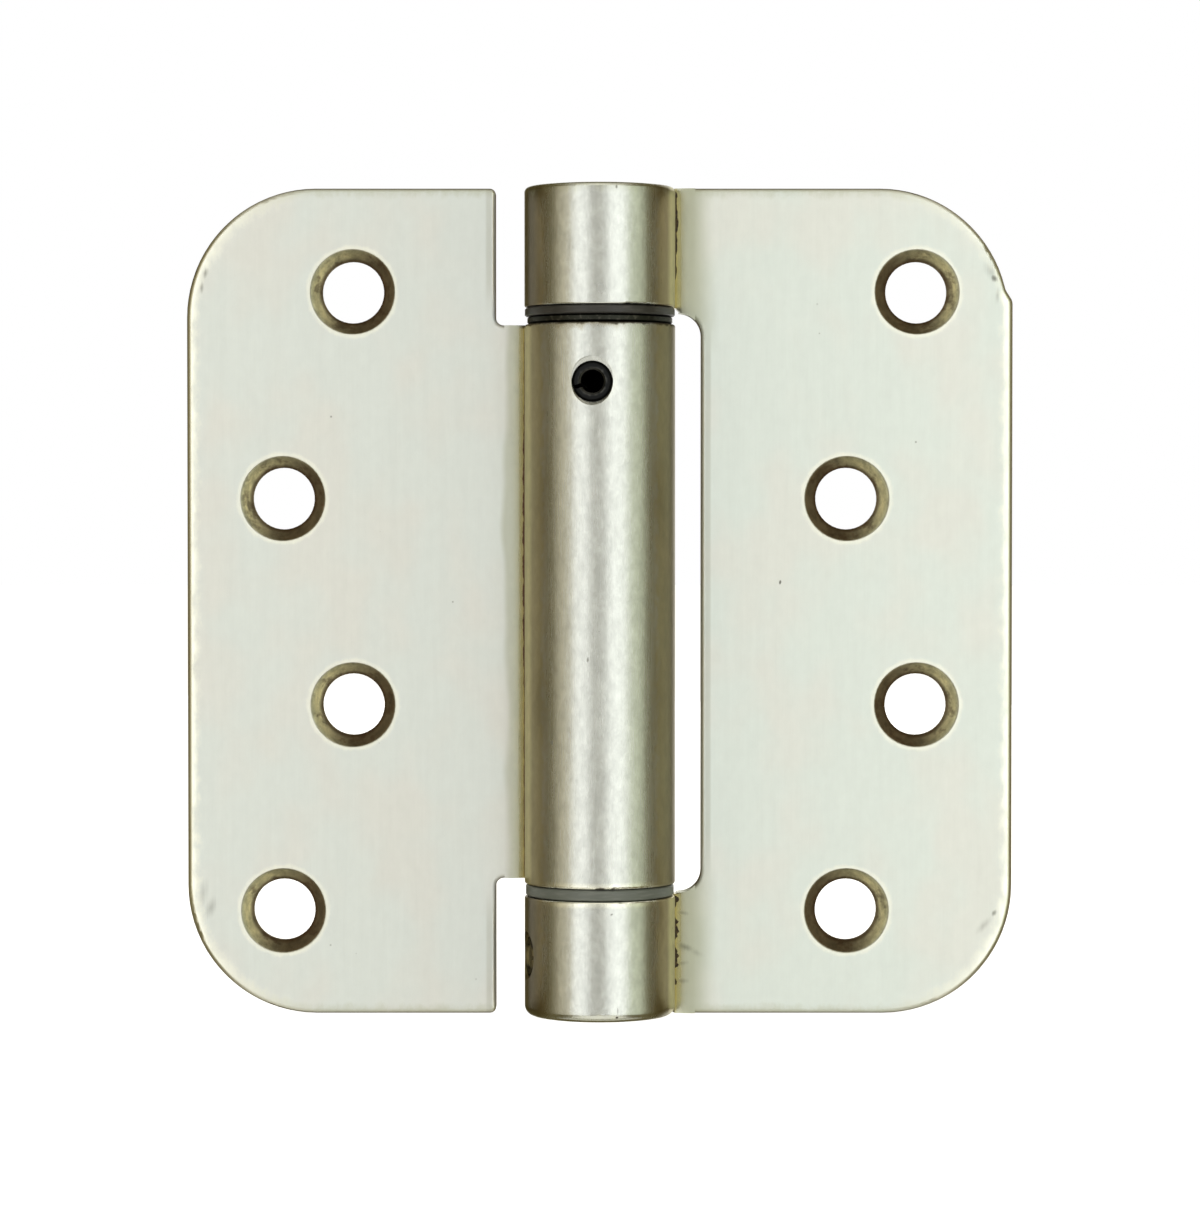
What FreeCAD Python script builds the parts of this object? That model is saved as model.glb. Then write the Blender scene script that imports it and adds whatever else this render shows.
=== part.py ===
import FreeCAD, Part

import math
import os

# Spring-loaded butt hinge, laid open flat with its screw faces towards the viewer.
# Units are millimetres. Z is the pin axis, X runs across the open leaves, and the
# countersunk faces look towards -Y. The origin is on the pin axis at mid height.

# Leaf blanks
LEAF_HEIGHT = 101.6
LEAF_REACH = 50.8  # pin axis to the outer edge of either leaf
LEAF_THICKNESS = 2.7
CLOSED_GAP = 1.6  # between the two screw faces when the hinge is shut
CORNER_RADIUS = 15.875
EDGE_ROUND = 0.6  # die roll on the screw face
BACK_EDGE_ROUND = 0.3  # deburred edge on the face that lies in the mortise

# Corner of the forked leaf that was struck out of line and left a nick
NICK_SHIFT = 0.5
NICK_ANGLE = 14.0
NICK_RAMP = 1.4
NICK_ROUND = 1.5

# Rolled knuckles
BARREL_DIAMETER = 18.5
SWAGE_RADIUS = 5.6  # concave bend behind the leaf, where the sheet turns into the roll
SEAM_GAP = 0.12  # between the end of the rolled sheet and the leaf
TOP_RIM_ROUND = 0.6  # outer rim of the upper short knuckle
BOTTOM_RIM_ROUND = 1.2  # outer rim of the lower short knuckle
INNER_RIM_ROUND = 0.3  # rims that face each other at the washers
KNUCKLE_LENGTH = 14.7  # each short knuckle
KNUCKLE_TRIM = 0.6  # the upper short knuckle is faced back from the slot edge
LOWER_KNUCKLE_TRIM = 0.2  # the lower one is faced back less
BARREL_LIP = 0.5  # the long barrel stands out past its leaf at the lower notch
SLOT_CLEARANCE = 3.2  # side of the long barrel to the slot in the forked leaf
SLOT_CORNER_RADIUS = 2.8
NOTCH_CLEARANCE = 3.55  # side of a short knuckle to the notch in the barrel leaf
NOTCH_CORNER_RADIUS = 1.0
NOTCH_TIP_MARGIN = 0.15  # the notch's outer corner is rounder than the edge by this

# Countersunk screw holes, staggered between two upright rows
SCREW_HOLE_DIAMETER = 7.6
COUNTERSINK_DIAMETER = 10.5
COUNTERSINK_ANGLE = 82.0
SCREW_PITCH = 25.4
SCREW_COUNT = 4
SCREW_ROW_NEAR = 30.4  # pin axis to the inner row
SCREW_ROW_FAR = 39.0  # pin axis to the outer row

# Thrust washers in the two gaps of the barrel
NYLON_WASHER_THICKNESS = 1.0
NYLON_WASHER_SETBACK = 0.05  # in from the side of the barrel
STEEL_WASHER_THICKNESS = 0.8
STEEL_WASHER_SETBACK = 0.35
GREY_WASHER_THICKNESS = 1.3
GREY_WASHER_SETBACK = 0.15
WASHER_BORE_CLEARANCE = 0.15
WASHER_EDGE_CHAMFER = 0.15
AXIAL_PLAY = 0.1  # on each face of each washer

# Turned plugs that carry the knuckles and hold the ends of the spring
RUNNING_CLEARANCE = 0.06
PLUG_END_RECESS = 0.4  # below the outer rim of the short knuckle
PLUG_CHAMFER = 0.5
ANCHOR_PLUG_DEPTH = 12.5  # inside the long barrel, down to the shoulder
WINDING_PLUG_DEPTH = 9.0  # inside the long barrel, up to the shoulder
NOSE_LENGTH = 6.5  # spigot inside the end coils
NOSE_CLEARANCE = 0.25
HEX_SOCKET_FLATS = 5.0  # key for winding the spring
HEX_SOCKET_DEPTH = 6.0

# Slotted spring pins that lock the plugs
PIN_DIAMETER = 4.9
PIN_BORE = 2.7
PIN_SLIT = 0.5
PIN_CHAMFER = 0.3
PIN_CLEARANCE = 0.05
PIN_RECESS = 0.35
PIN_HOLE_CHAMFER = 0.4
PIN_RELIEF_RISE = 0.6  # a shallow spot face, struck that far above the pin
PIN_RELIEF_DEPTH = 0.5
ANCHOR_PIN_DROP = 7.2  # below the top of the long barrel
ANCHOR_PIN_BEARING = 6.0  # degrees from the front, towards the barrel leaf
ANCHOR_PIN_LENGTH = 11.4
ANCHOR_PIN_SLIT_TURN = 199.0  # slit points away from the axis, a little down
WINDING_PIN_BEARING = 77.0
WINDING_PIN_LENGTH = 5.2
WINDING_HOLE_COUNT = 4

# Torsion spring of square wire
WIRE = 2.4
COIL_GAP = 0.25
SPRING_CLEARANCE = 0.35  # coils to the bore of the barrel
TANG_CLEARANCE = 0.1  # spring tang in the slot of a nose, each side

# Values worked out from the sizes above
HALF_HEIGHT = LEAF_HEIGHT / 2
BARREL_RADIUS = BARREL_DIAMETER / 2
BORE_RADIUS = BARREL_RADIUS - LEAF_THICKNESS
FRONT_Y = CLOSED_GAP / 2
BACK_Y = FRONT_Y + LEAF_THICKNESS
SWAGE_CENTRE_Y = BACK_Y + SWAGE_RADIUS
SWAGE_CENTRE_REACH = BARREL_RADIUS + SWAGE_RADIUS
SWAGE_CENTRE_X = math.sqrt(SWAGE_CENTRE_REACH**2 - SWAGE_CENTRE_Y**2)
SWAGE_ANGLE = math.atan2(SWAGE_CENTRE_Y, SWAGE_CENTRE_X)
KNUCKLE_END = HALF_HEIGHT - KNUCKLE_LENGTH
TOP_STACK = NYLON_WASHER_THICKNESS + STEEL_WASHER_THICKNESS + 3 * AXIAL_PLAY
BOTTOM_STACK = GREY_WASHER_THICKNESS + 2 * AXIAL_PLAY
BARREL_TOP = KNUCKLE_END - TOP_STACK
BARREL_BOTTOM = BOTTOM_STACK - KNUCKLE_END
SLOT_X = BARREL_RADIUS + SLOT_CLEARANCE
SLOT_TOP = KNUCKLE_END - KNUCKLE_TRIM
SLOT_BOTTOM = LOWER_KNUCKLE_TRIM - KNUCKLE_END
NOTCH_X = BARREL_RADIUS + NOTCH_CLEARANCE
PLUG_RADIUS = BORE_RADIUS - RUNNING_CLEARANCE
PLUG_TIP = HALF_HEIGHT - PLUG_END_RECESS
ANCHOR_SHOULDER = BARREL_TOP - ANCHOR_PLUG_DEPTH
WINDING_SHOULDER = BARREL_BOTTOM + WINDING_PLUG_DEPTH
COIL_OUTER = BORE_RADIUS - SPRING_CLEARANCE
COIL_MEAN = COIL_OUTER - WIRE / 2
COIL_INNER = COIL_OUTER - WIRE
NOSE_RADIUS = COIL_INNER - NOSE_CLEARANCE
ANCHOR_PIN_Z = BARREL_TOP - ANCHOR_PIN_DROP
WINDING_PIN_Z = -(HALF_HEIGHT + KNUCKLE_END) / 2
PIN_HOLE_RADIUS = PIN_DIAMETER / 2 + PIN_CLEARANCE
PIN_OUTER_END = BARREL_RADIUS - PIN_RECESS

OVERSHOOT = 1.0  # how far a cutting tool runs past the face that it cuts
AXIS = FreeCAD.Vector(0, 0, 1)
ORIGIN = FreeCAD.Vector(0, 0, 0)


def polar(radius, angle):
    """Point in the XY plane, angle in radians from +X."""
    return FreeCAD.Vector(radius * math.cos(angle), radius * math.sin(angle), 0)


def outward(bearing):
    """Level direction out of the axis, in degrees from the front (-Y) towards -X."""
    turn = math.radians(bearing)
    return FreeCAD.Vector(-math.sin(turn), -math.cos(turn), 0)


def line(start, end):
    return Part.LineSegment(start, end).toShape()


def arc(start, middle, end):
    return Part.Arc(start, middle, end).toShape()


def rounded_outline(corners):
    """Closed wire in the XZ plane. Each corner is (x, z, radius), sharp where the radius is 0."""
    count = len(corners)
    points = [FreeCAD.Vector(x, 0, z) for x, z, _ in corners]
    entries, middles, exits = [], [], []
    for i, (_, _, radius) in enumerate(corners):
        back = (points[i - 1] - points[i]).normalize()
        ahead = (points[(i + 1) % count] - points[i]).normalize()
        half = back.getAngle(ahead) / 2
        setback = radius / math.tan(half)
        inward = (back + ahead).normalize()
        entries.append(points[i] + back * setback)
        middles.append(points[i] + inward * (radius / math.sin(half) - radius))
        exits.append(points[i] + ahead * setback)
    edges = []
    for i, (_, _, radius) in enumerate(corners):
        edges.append(line(exits[i - 1], entries[i]))
        if radius > 0:
            edges.append(arc(entries[i], middles[i], exits[i]))
    return Part.Wire(edges)


def blank(corners, y_from, y_to):
    """Flat plate of that outline between two depths."""
    face = Part.Face(rounded_outline(corners))
    face.translate(FreeCAD.Vector(0, y_from, 0))
    return face.extrude(FreeCAD.Vector(0, y_to - y_from, 0))


def nicked_corner():
    """Top outer corner of the forked leaf: its arc sits inwards and ends in a small step."""
    turn = math.radians(NICK_ANGLE)
    centre_x = LEAF_REACH - CORNER_RADIUS - NICK_SHIFT
    centre_z = HALF_HEIGHT - CORNER_RADIUS
    end_x = centre_x + CORNER_RADIUS * math.cos(turn)
    end_z = centre_z + CORNER_RADIUS * math.sin(turn)
    apex_x = end_x - (HALF_HEIGHT - end_z) * math.tan(turn)
    run = NICK_ROUND * math.tan(turn)
    step_x = end_x + run * math.sin(turn)
    step_z = end_z - run * math.cos(turn)
    return [
        (apex_x, HALF_HEIGHT, CORNER_RADIUS),
        (step_x, step_z, NICK_ROUND),
        (LEAF_REACH, step_z - NICK_RAMP, NICK_ROUND),
    ]


def barrel_leaf_corners():
    """Front outline of the leaf that carries the long barrel, which lies at -X."""
    past_barrel = BARREL_RADIUS + OVERSHOOT
    tip = EDGE_ROUND + NOTCH_TIP_MARGIN
    lip_top = BARREL_BOTTOM + BARREL_LIP
    return [
        (past_barrel, BARREL_TOP, 0),
        (past_barrel, BARREL_BOTTOM, 0),
        (-BARREL_RADIUS, BARREL_BOTTOM, 0),
        (-BARREL_RADIUS, lip_top, 0),
        (-NOTCH_X, lip_top, NOTCH_CORNER_RADIUS),
        (-NOTCH_X, -HALF_HEIGHT, tip),
        (-LEAF_REACH, -HALF_HEIGHT, CORNER_RADIUS),
        (-LEAF_REACH, HALF_HEIGHT, CORNER_RADIUS),
        (-NOTCH_X, HALF_HEIGHT, tip),
        (-NOTCH_X, BARREL_TOP, NOTCH_CORNER_RADIUS),
    ]


def forked_leaf_corners():
    """Front outline of the leaf that carries the two short knuckles, which lies at +X."""
    past_barrel = BARREL_RADIUS + OVERSHOOT
    ramp = BARREL_RADIUS + AXIAL_PLAY
    return [
        (-past_barrel, HALF_HEIGHT, 0),
        *nicked_corner(),
        (LEAF_REACH, -HALF_HEIGHT, CORNER_RADIUS),
        (-past_barrel, -HALF_HEIGHT, 0),
        (-past_barrel, -KNUCKLE_END, 0),
        (ramp, -KNUCKLE_END, 0),
        (ramp + LOWER_KNUCKLE_TRIM, SLOT_BOTTOM, 0),
        (SLOT_X, SLOT_BOTTOM, SLOT_CORNER_RADIUS),
        (SLOT_X, SLOT_TOP, SLOT_CORNER_RADIUS),
        (ramp + KNUCKLE_TRIM, SLOT_TOP, 0),
        (ramp, KNUCKLE_END, 0),
        (-past_barrel, KNUCKLE_END, 0),
    ]


def seam_angle():
    """Where the rolled sheet ends: its outer corner stands SEAM_GAP off the leaf's bend."""
    bend = SWAGE_RADIUS + LEAF_THICKNESS + SEAM_GAP
    reach = SWAGE_CENTRE_REACH
    cosine = (BARREL_RADIUS**2 + reach**2 - bend**2) / (2 * BARREL_RADIUS * reach)
    return SWAGE_ANGLE - math.acos(cosine) + 2 * math.pi


def rolled_section(side):
    """Section of the roll and its swage bend, square to the axis. Side is +1 or -1 in X.

    The sheet leaves the plate, turns back round a bend, wraps the bore from behind and
    ends at the front in a seam against the leaf.
    """

    def at(point):
        return FreeCAD.Vector(side * point.x, point.y, 0)

    def barrel_arc(radius, start, end):
        ends = [polar(radius, angle) for angle in (start, (start + end) / 2, end)]
        return arc(*[at(point) for point in ends])

    def bend_arc(radius):
        bottom = -math.pi / 2
        joint = SWAGE_ANGLE - math.pi
        centre = FreeCAD.Vector(SWAGE_CENTRE_X, SWAGE_CENTRE_Y, 0)
        angles = (bottom, (bottom + joint) / 2, joint)
        return arc(*[at(centre + polar(radius, angle)) for angle in angles])

    end = seam_angle()
    seam = line(at(polar(BARREL_RADIUS, end)), at(polar(BORE_RADIUS, end)))
    foot = line(
        at(FreeCAD.Vector(SWAGE_CENTRE_X, FRONT_Y, 0)),
        at(FreeCAD.Vector(SWAGE_CENTRE_X, BACK_Y, 0)),
    )
    edges = [
        bend_arc(SWAGE_RADIUS),
        barrel_arc(BARREL_RADIUS, SWAGE_ANGLE, end),
        seam,
        barrel_arc(BORE_RADIUS, SWAGE_ANGLE, end),
        bend_arc(SWAGE_RADIUS + LEAF_THICKNESS),
        foot,
    ]
    return Part.Face(Part.Wire(Part.__sortEdges__(edges)))


def rim_cutter(z_end, inside, radius):
    """Ring that rounds the rim of an end face at z_end. Inside is the way into the metal, +1 or -1."""
    inner = BARREL_RADIUS - radius
    outer = BARREL_RADIUS + RUNNING_CLEARANCE
    centre_z = z_end + inside * radius
    beyond = z_end - inside * OVERSHOOT
    diagonal = radius * math.sqrt(0.5)
    top = FreeCAD.Vector(inner, 0, z_end)
    middle = FreeCAD.Vector(inner + diagonal, 0, centre_z - inside * diagonal)
    low = FreeCAD.Vector(BARREL_RADIUS, 0, centre_z)
    low_out = FreeCAD.Vector(outer, 0, centre_z)
    far = FreeCAD.Vector(outer, 0, beyond)
    near = FreeCAD.Vector(inner, 0, beyond)
    edges = [arc(top, middle, low), line(low, low_out), line(low_out, far)]
    edges += [line(far, near), line(near, top)]
    return Part.Face(Part.Wire(edges)).revolve(ORIGIN, AXIS, 360)


def rounded_plate(corners, side):
    """Flat part of a leaf, out from the swage bend, with both of its rims rounded."""
    plate = blank(corners, FRONT_Y, BACK_Y)
    low = FreeCAD.Vector(SWAGE_CENTRE_X, 0, -LEAF_HEIGHT)
    keep = Part.makeBox(LEAF_REACH, BACK_Y + OVERSHOOT, 2 * LEAF_HEIGHT, low)
    if side < 0:
        keep = keep.mirror(ORIGIN, FreeCAD.Vector(1, 0, 0))
    plate = plate.common(keep)
    for depth, radius in ((FRONT_Y, EDGE_ROUND), (BACK_Y, BACK_EDGE_ROUND)):
        rim = [edge for edge in plate.Edges if on_rim(edge, depth, side * SWAGE_CENTRE_X)]
        plate = plate.makeFillet(radius, rim)
    return plate


def on_rim(edge, depth, root_x):
    """True for an edge of the plate's outline at that depth, but not where it joins the bend."""
    box = edge.BoundBox
    tiny = 1e-4
    flat = abs(box.YMin - depth) < tiny and abs(box.YMax - depth) < tiny
    at_root = abs(box.XMin - root_x) < tiny and abs(box.XMax - root_x) < tiny
    return flat and not at_root


def screw_hole(x, z):
    """Cutter for one countersunk screw hole, entered from the front."""
    inwards = FreeCAD.Vector(0, 1, 0)
    half_angle = math.radians(COUNTERSINK_ANGLE / 2)
    slope = 1 / math.tan(half_angle)
    small = SCREW_HOLE_DIAMETER / 2
    large = COUNTERSINK_DIAMETER / 2
    depth = (large - small) * slope
    start = FreeCAD.Vector(x, FRONT_Y - OVERSHOOT, z)
    flare = large + OVERSHOOT / slope
    cone = Part.makeCone(flare, small, depth + OVERSHOOT, start, inwards)
    shank = Part.makeCylinder(small, LEAF_THICKNESS + 2 * OVERSHOOT, start, inwards)
    return cone.fuse(shank)


def screw_places(side):
    """(x, z) of each hole, top first. The two leaves carry the same stagger, turned half round."""
    rows = (SCREW_ROW_NEAR, SCREW_ROW_FAR)
    places = []
    for i in range(SCREW_COUNT):
        z = ((SCREW_COUNT - 1) / 2 - i) * SCREW_PITCH
        row = rows[i % 2] if side < 0 else rows[(i + 1) % 2]
        places.append((side * row, z))
    return places


def pin_hole(bearing, z):
    """Cutter for a radial pin hole through one wall of a knuckle, with a broken rim and a spot face."""
    way = outward(bearing)
    start = way * (BORE_RADIUS - OVERSHOOT)
    start.z = z
    bore = Part.makeCylinder(PIN_HOLE_RADIUS, LEAF_THICKNESS + 2 * OVERSHOOT, start, way)
    rim = way * (BARREL_RADIUS - PIN_HOLE_CHAMFER)
    rim.z = z
    reach = PIN_HOLE_CHAMFER + OVERSHOOT
    flare = Part.makeCone(PIN_HOLE_RADIUS, PIN_HOLE_RADIUS + reach, reach, rim, way)
    spot = way * (BARREL_RADIUS - PIN_RELIEF_DEPTH)
    spot.z = z + PIN_RELIEF_RISE
    relief = Part.makeCylinder(PIN_HOLE_RADIUS, PIN_RELIEF_DEPTH + OVERSHOOT, spot, way)
    return bore.fuse([flare, relief])


def leaf(corners, side, rims, pin):
    """One leaf: flat plate and rolled knuckles in one piece of sheet."""
    roll = rolled_section(side).extrude(FreeCAD.Vector(0, 0, LEAF_HEIGHT))
    roll.translate(FreeCAD.Vector(0, 0, -HALF_HEIGHT))
    depth = BARREL_RADIUS + OVERSHOOT
    roll = roll.common(blank(corners, -depth, depth))
    cutters = [rim_cutter(*rim) for rim in rims]
    cutters.append(pin_hole(*pin))
    roll = roll.cut(cutters)
    whole = roll.fuse(rounded_plate(corners, side)).removeSplitter()
    return whole.cut([screw_hole(x, z) for x, z in screw_places(side)])


def barrel_leaf():
    rims = [(BARREL_TOP, -1, INNER_RIM_ROUND), (BARREL_BOTTOM, 1, INNER_RIM_ROUND)]
    return leaf(barrel_leaf_corners(), -1, rims, (ANCHOR_PIN_BEARING, ANCHOR_PIN_Z))


def forked_leaf():
    rims = [(HALF_HEIGHT, -1, TOP_RIM_ROUND), (-HALF_HEIGHT, 1, BOTTOM_RIM_ROUND)]
    rims += [(end * KNUCKLE_END, end, INNER_RIM_ROUND) for end in (1, -1)]
    return leaf(forked_leaf_corners(), 1, rims, (WINDING_PIN_BEARING, WINDING_PIN_Z))


def turned(profile):
    """Solid of revolution about the pin axis, from (radius, z) points of half its section."""
    points = [FreeCAD.Vector(radius, 0, z) for radius, z in profile]
    return Part.Face(Part.makePolygon(points + points[:1])).revolve(ORIGIN, AXIS, 360)


def washer(bottom, thickness, setback):
    """Flat ring on the plug journal with broken edges, set back from the side of the barrel."""
    outer = BARREL_RADIUS - setback
    inner = PLUG_RADIUS + WASHER_BORE_CLEARANCE
    top = bottom + thickness
    cut = WASHER_EDGE_CHAMFER
    return turned(
        [
            (inner, bottom),
            (outer - cut, bottom),
            (outer, bottom + cut),
            (outer, top - cut),
            (outer - cut, top),
            (inner, top),
        ]
    )


def plug_blank(tip, shoulder):
    """Turned plug: journal from its outer tip to the shoulder, then the nose in the coils."""
    way = 1 if shoulder > tip else -1
    nose = shoulder + way * NOSE_LENGTH
    chamfered_tip = tip + way * PLUG_CHAMFER
    chamfered_nose = nose - way * PLUG_CHAMFER
    return turned(
        [
            (0, tip),
            (PLUG_RADIUS - PLUG_CHAMFER, tip),
            (PLUG_RADIUS, chamfered_tip),
            (PLUG_RADIUS, shoulder),
            (NOSE_RADIUS, shoulder),
            (NOSE_RADIUS, chamfered_nose),
            (NOSE_RADIUS - PLUG_CHAMFER, nose),
            (0, nose),
        ]
    )


def tang_slot(shoulder, way):
    """Cutter for the slot across a nose that takes the spring's tang, along X."""
    length = 2 * (NOSE_RADIUS + OVERSHOOT)
    width = WIRE + 2 * TANG_CLEARANCE
    height = NOSE_LENGTH + OVERSHOOT
    low = shoulder if way > 0 else shoulder - height
    return Part.makeBox(length, width, height, FreeCAD.Vector(-length / 2, -width / 2, low))


def blind_pin_hole(bearing, z, end):
    """Cutter for the part of a pin hole that lies inside a plug, down to radius end."""
    way = outward(bearing)
    start = way * end
    start.z = z
    return Part.makeCylinder(PIN_HOLE_RADIUS, PLUG_RADIUS - end + OVERSHOOT, start, way)


def anchor_plug():
    """Upper plug: pinned in the long barrel, and the pivot of the top knuckle."""
    plug = plug_blank(PLUG_TIP, ANCHOR_SHOULDER)
    seat = PIN_OUTER_END - ANCHOR_PIN_LENGTH - PIN_CLEARANCE
    hole = blind_pin_hole(ANCHOR_PIN_BEARING, ANCHOR_PIN_Z, seat)
    return plug.cut([hole, tang_slot(ANCHOR_SHOULDER, -1)])


def winding_plug():
    """Lower plug: pinned in the bottom knuckle, wound with a hexagon key from below."""
    plug = plug_blank(-PLUG_TIP, WINDING_SHOULDER)
    seat = PIN_OUTER_END - WINDING_PIN_LENGTH - PIN_CLEARANCE
    cutters = [tang_slot(WINDING_SHOULDER, 1), hex_socket()]
    for i in range(WINDING_HOLE_COUNT):
        bearing = WINDING_PIN_BEARING + i * 360 / WINDING_HOLE_COUNT
        cutters.append(blind_pin_hole(bearing, WINDING_PIN_Z, seat))
    return plug.cut(cutters)


def hex_socket():
    corner = HEX_SOCKET_FLATS / math.sqrt(3)
    start = -PLUG_TIP - OVERSHOOT
    points = [polar(corner, math.radians(60 * i)) for i in range(7)]
    hexagon = Part.Face(Part.makePolygon(points))
    hexagon.translate(FreeCAD.Vector(0, 0, start))
    return hexagon.extrude(FreeCAD.Vector(0, 0, HEX_SOCKET_DEPTH + OVERSHOOT))


def spring_pin(bearing, z, length, slit_turn):
    """Slotted spring pin, rolled from strip, with its outer end just below the barrel."""
    outer = PIN_DIAMETER / 2
    inner = PIN_BORE / 2
    cut = PIN_CHAMFER
    tube = turned(
        [
            (inner + cut, 0),
            (outer - cut, 0),
            (outer, cut),
            (outer, length - cut),
            (outer - cut, length),
            (inner + cut, length),
            (inner, length - cut),
            (inner, cut),
        ]
    )
    slit = Part.makeBox(PIN_DIAMETER, PIN_SLIT, length, FreeCAD.Vector(0, -PIN_SLIT / 2, 0))
    pin = tube.cut(slit)
    pin.rotate(ORIGIN, AXIS, slit_turn)
    # Laid over so that its length runs out to the front, with its own +X still level
    pin.rotate(ORIGIN, FreeCAD.Vector(1, 0, 0), 90)
    pin.rotate(ORIGIN, AXIS, -bearing)
    place = outward(bearing) * (PIN_OUTER_END - length)
    place.z = z
    pin.translate(place)
    return pin


def torsion_spring():
    """Square-wire coil between the two shoulders, with a straight tang across each nose."""
    top = ANCHOR_SHOULDER - AXIAL_PLAY - WIRE / 2
    bottom = WINDING_SHOULDER + AXIAL_PLAY + WIRE / 2
    height = top - bottom
    turns = math.floor(height / (WIRE + COIL_GAP))
    helix = Part.makeHelix(height / turns, height, COIL_MEAN)
    half = WIRE / 2
    corners = [(-half, -half), (half, -half), (half, half), (-half, half), (-half, -half)]
    section = [FreeCAD.Vector(COIL_MEAN + across, 0, up) for across, up in corners]
    coil = Part.Wire(helix).makePipeShell([Part.makePolygon(section)], True, True)
    coil.translate(FreeCAD.Vector(0, 0, bottom))
    reach = NOSE_RADIUS + COIL_MEAN
    tangs = []
    for z in (bottom, top):
        corner = FreeCAD.Vector(-NOSE_RADIUS, -half, z - half)
        tangs.append(Part.makeBox(reach, WIRE, WIRE, corner))
    return coil.fuse(tangs)


def pieces():
    """Every piece by name."""
    steel_low = BARREL_TOP + AXIAL_PLAY
    nylon_low = steel_low + STEEL_WASHER_THICKNESS + AXIAL_PLAY
    grey_low = AXIAL_PLAY - KNUCKLE_END
    return {
        "barrel_leaf": barrel_leaf(),
        "forked_leaf": forked_leaf(),
        "anchor_plug": anchor_plug(),
        "winding_plug": winding_plug(),
        "anchor_pin": spring_pin(
            ANCHOR_PIN_BEARING, ANCHOR_PIN_Z, ANCHOR_PIN_LENGTH, ANCHOR_PIN_SLIT_TURN
        ),
        "winding_pin": spring_pin(WINDING_PIN_BEARING, WINDING_PIN_Z, WINDING_PIN_LENGTH, 0),
        "steel_thrust_washer": washer(steel_low, STEEL_WASHER_THICKNESS, STEEL_WASHER_SETBACK),
        "nylon_thrust_washer": washer(nylon_low, NYLON_WASHER_THICKNESS, NYLON_WASHER_SETBACK),
        "grey_thrust_washer": washer(grey_low, GREY_WASHER_THICKNESS, GREY_WASHER_SETBACK),
        "torsion_spring": torsion_spring(),
    }


def main():
    os.makedirs("parts", exist_ok=True)
    for name, shape in pieces().items():
        solid = shape.Solids[0]
        print(name, shape.isValid(), len(shape.Solids), round(solid.Volume, 1))
        shape.exportStep(f"parts/{name}.step")


main()
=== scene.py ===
import logging
import math
from dataclasses import dataclass, field
from enum import Enum
from typing import Any, Mapping, Optional, Sequence

import bpy
import numpy as np
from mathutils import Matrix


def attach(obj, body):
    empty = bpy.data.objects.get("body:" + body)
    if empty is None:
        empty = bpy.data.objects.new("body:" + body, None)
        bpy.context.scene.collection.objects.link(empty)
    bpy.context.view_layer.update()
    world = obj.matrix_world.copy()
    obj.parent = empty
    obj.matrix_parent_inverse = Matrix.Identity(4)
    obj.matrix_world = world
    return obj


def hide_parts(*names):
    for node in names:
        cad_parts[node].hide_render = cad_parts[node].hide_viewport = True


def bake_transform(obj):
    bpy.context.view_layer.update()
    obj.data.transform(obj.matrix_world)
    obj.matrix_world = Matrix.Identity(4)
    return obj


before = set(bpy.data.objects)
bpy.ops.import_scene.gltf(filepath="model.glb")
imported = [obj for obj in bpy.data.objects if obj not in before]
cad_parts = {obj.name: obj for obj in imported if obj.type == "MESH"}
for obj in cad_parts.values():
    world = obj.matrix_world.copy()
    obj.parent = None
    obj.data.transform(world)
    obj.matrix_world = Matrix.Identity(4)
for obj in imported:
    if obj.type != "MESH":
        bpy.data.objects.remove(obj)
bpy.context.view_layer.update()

# Looks of a spring loaded door hinge, laid open flat with its screw faces towards -Y.
# Sizes in the classes are millimetres, as on a drawing; MM turns them into Blender's metres.

MM = 0.001
PER_METRE = 1000.0
SMOOTH = {"interpolation_type": "SMOOTHSTEP"}
COLOUR = {"data_type": "RGBA"}
WIRE_MAP = "wire"
THROUGH = 1.0e6  # a size so large that the depth of a mark doesn't count
LOG = logging.getLogger("door_hinge")

# Sizes that the finishes and the new pieces share with the solids
HALF_HEIGHT = 50.8
LEAF_REACH = 50.8
CORNER_RADIUS = 15.875
FRONT_Y = 0.8
BACK_Y = 3.5
BARREL_RADIUS = 9.25
BEND_CENTRE = (11.735, 9.1)
BEND_RADIUS = 8.3
HOLE_HEIGHTS = (38.1, 12.7, -12.7, -38.1)
NEAR_ROW = 30.4
FAR_ROW = 39.0

# Directions: which coordinates count, and the way of the brushed lines
ACROSS_PIN = (1, 1, 0)
IN_LEAF = (1, 0, 1)
BRUSHED_WAY = (0.0, 0.03, 1.0)  # along the pin axis, tipped a little so that level ends have a way too

Point = tuple[float, float, float]
Socket = bpy.types.NodeSocket
Tree = bpy.types.NodeTree


class Body(Enum):
    """The two bodies that the joint joins."""

    BARREL = "barrel_side"
    FORK = "fork_side"


class Side(Enum):
    """Which side of the pin axis a leaf lies on, as the sign of its X."""

    LEFT = -1
    RIGHT = 1


def linear(hex_colour: str) -> tuple[float, float, float, float]:
    """Turn an sRGB hex colour into linear RGBA by the sRGB standard's curve.

    Args:
        hex_colour: colour as "#RRGGBB".

    Returns:
        Linear red, green, blue, and an alpha of one.
    """
    srgb = np.array([int(hex_colour[start : start + 2], 16) for start in (1, 3, 5)]) / 255
    low, high = srgb / 12.92, ((srgb + 0.055) / 1.055) ** 2.4
    red, green, blue = np.where(srgb <= 0.04045, low, high).tolist()
    return red, green, blue, 1.0


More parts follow.
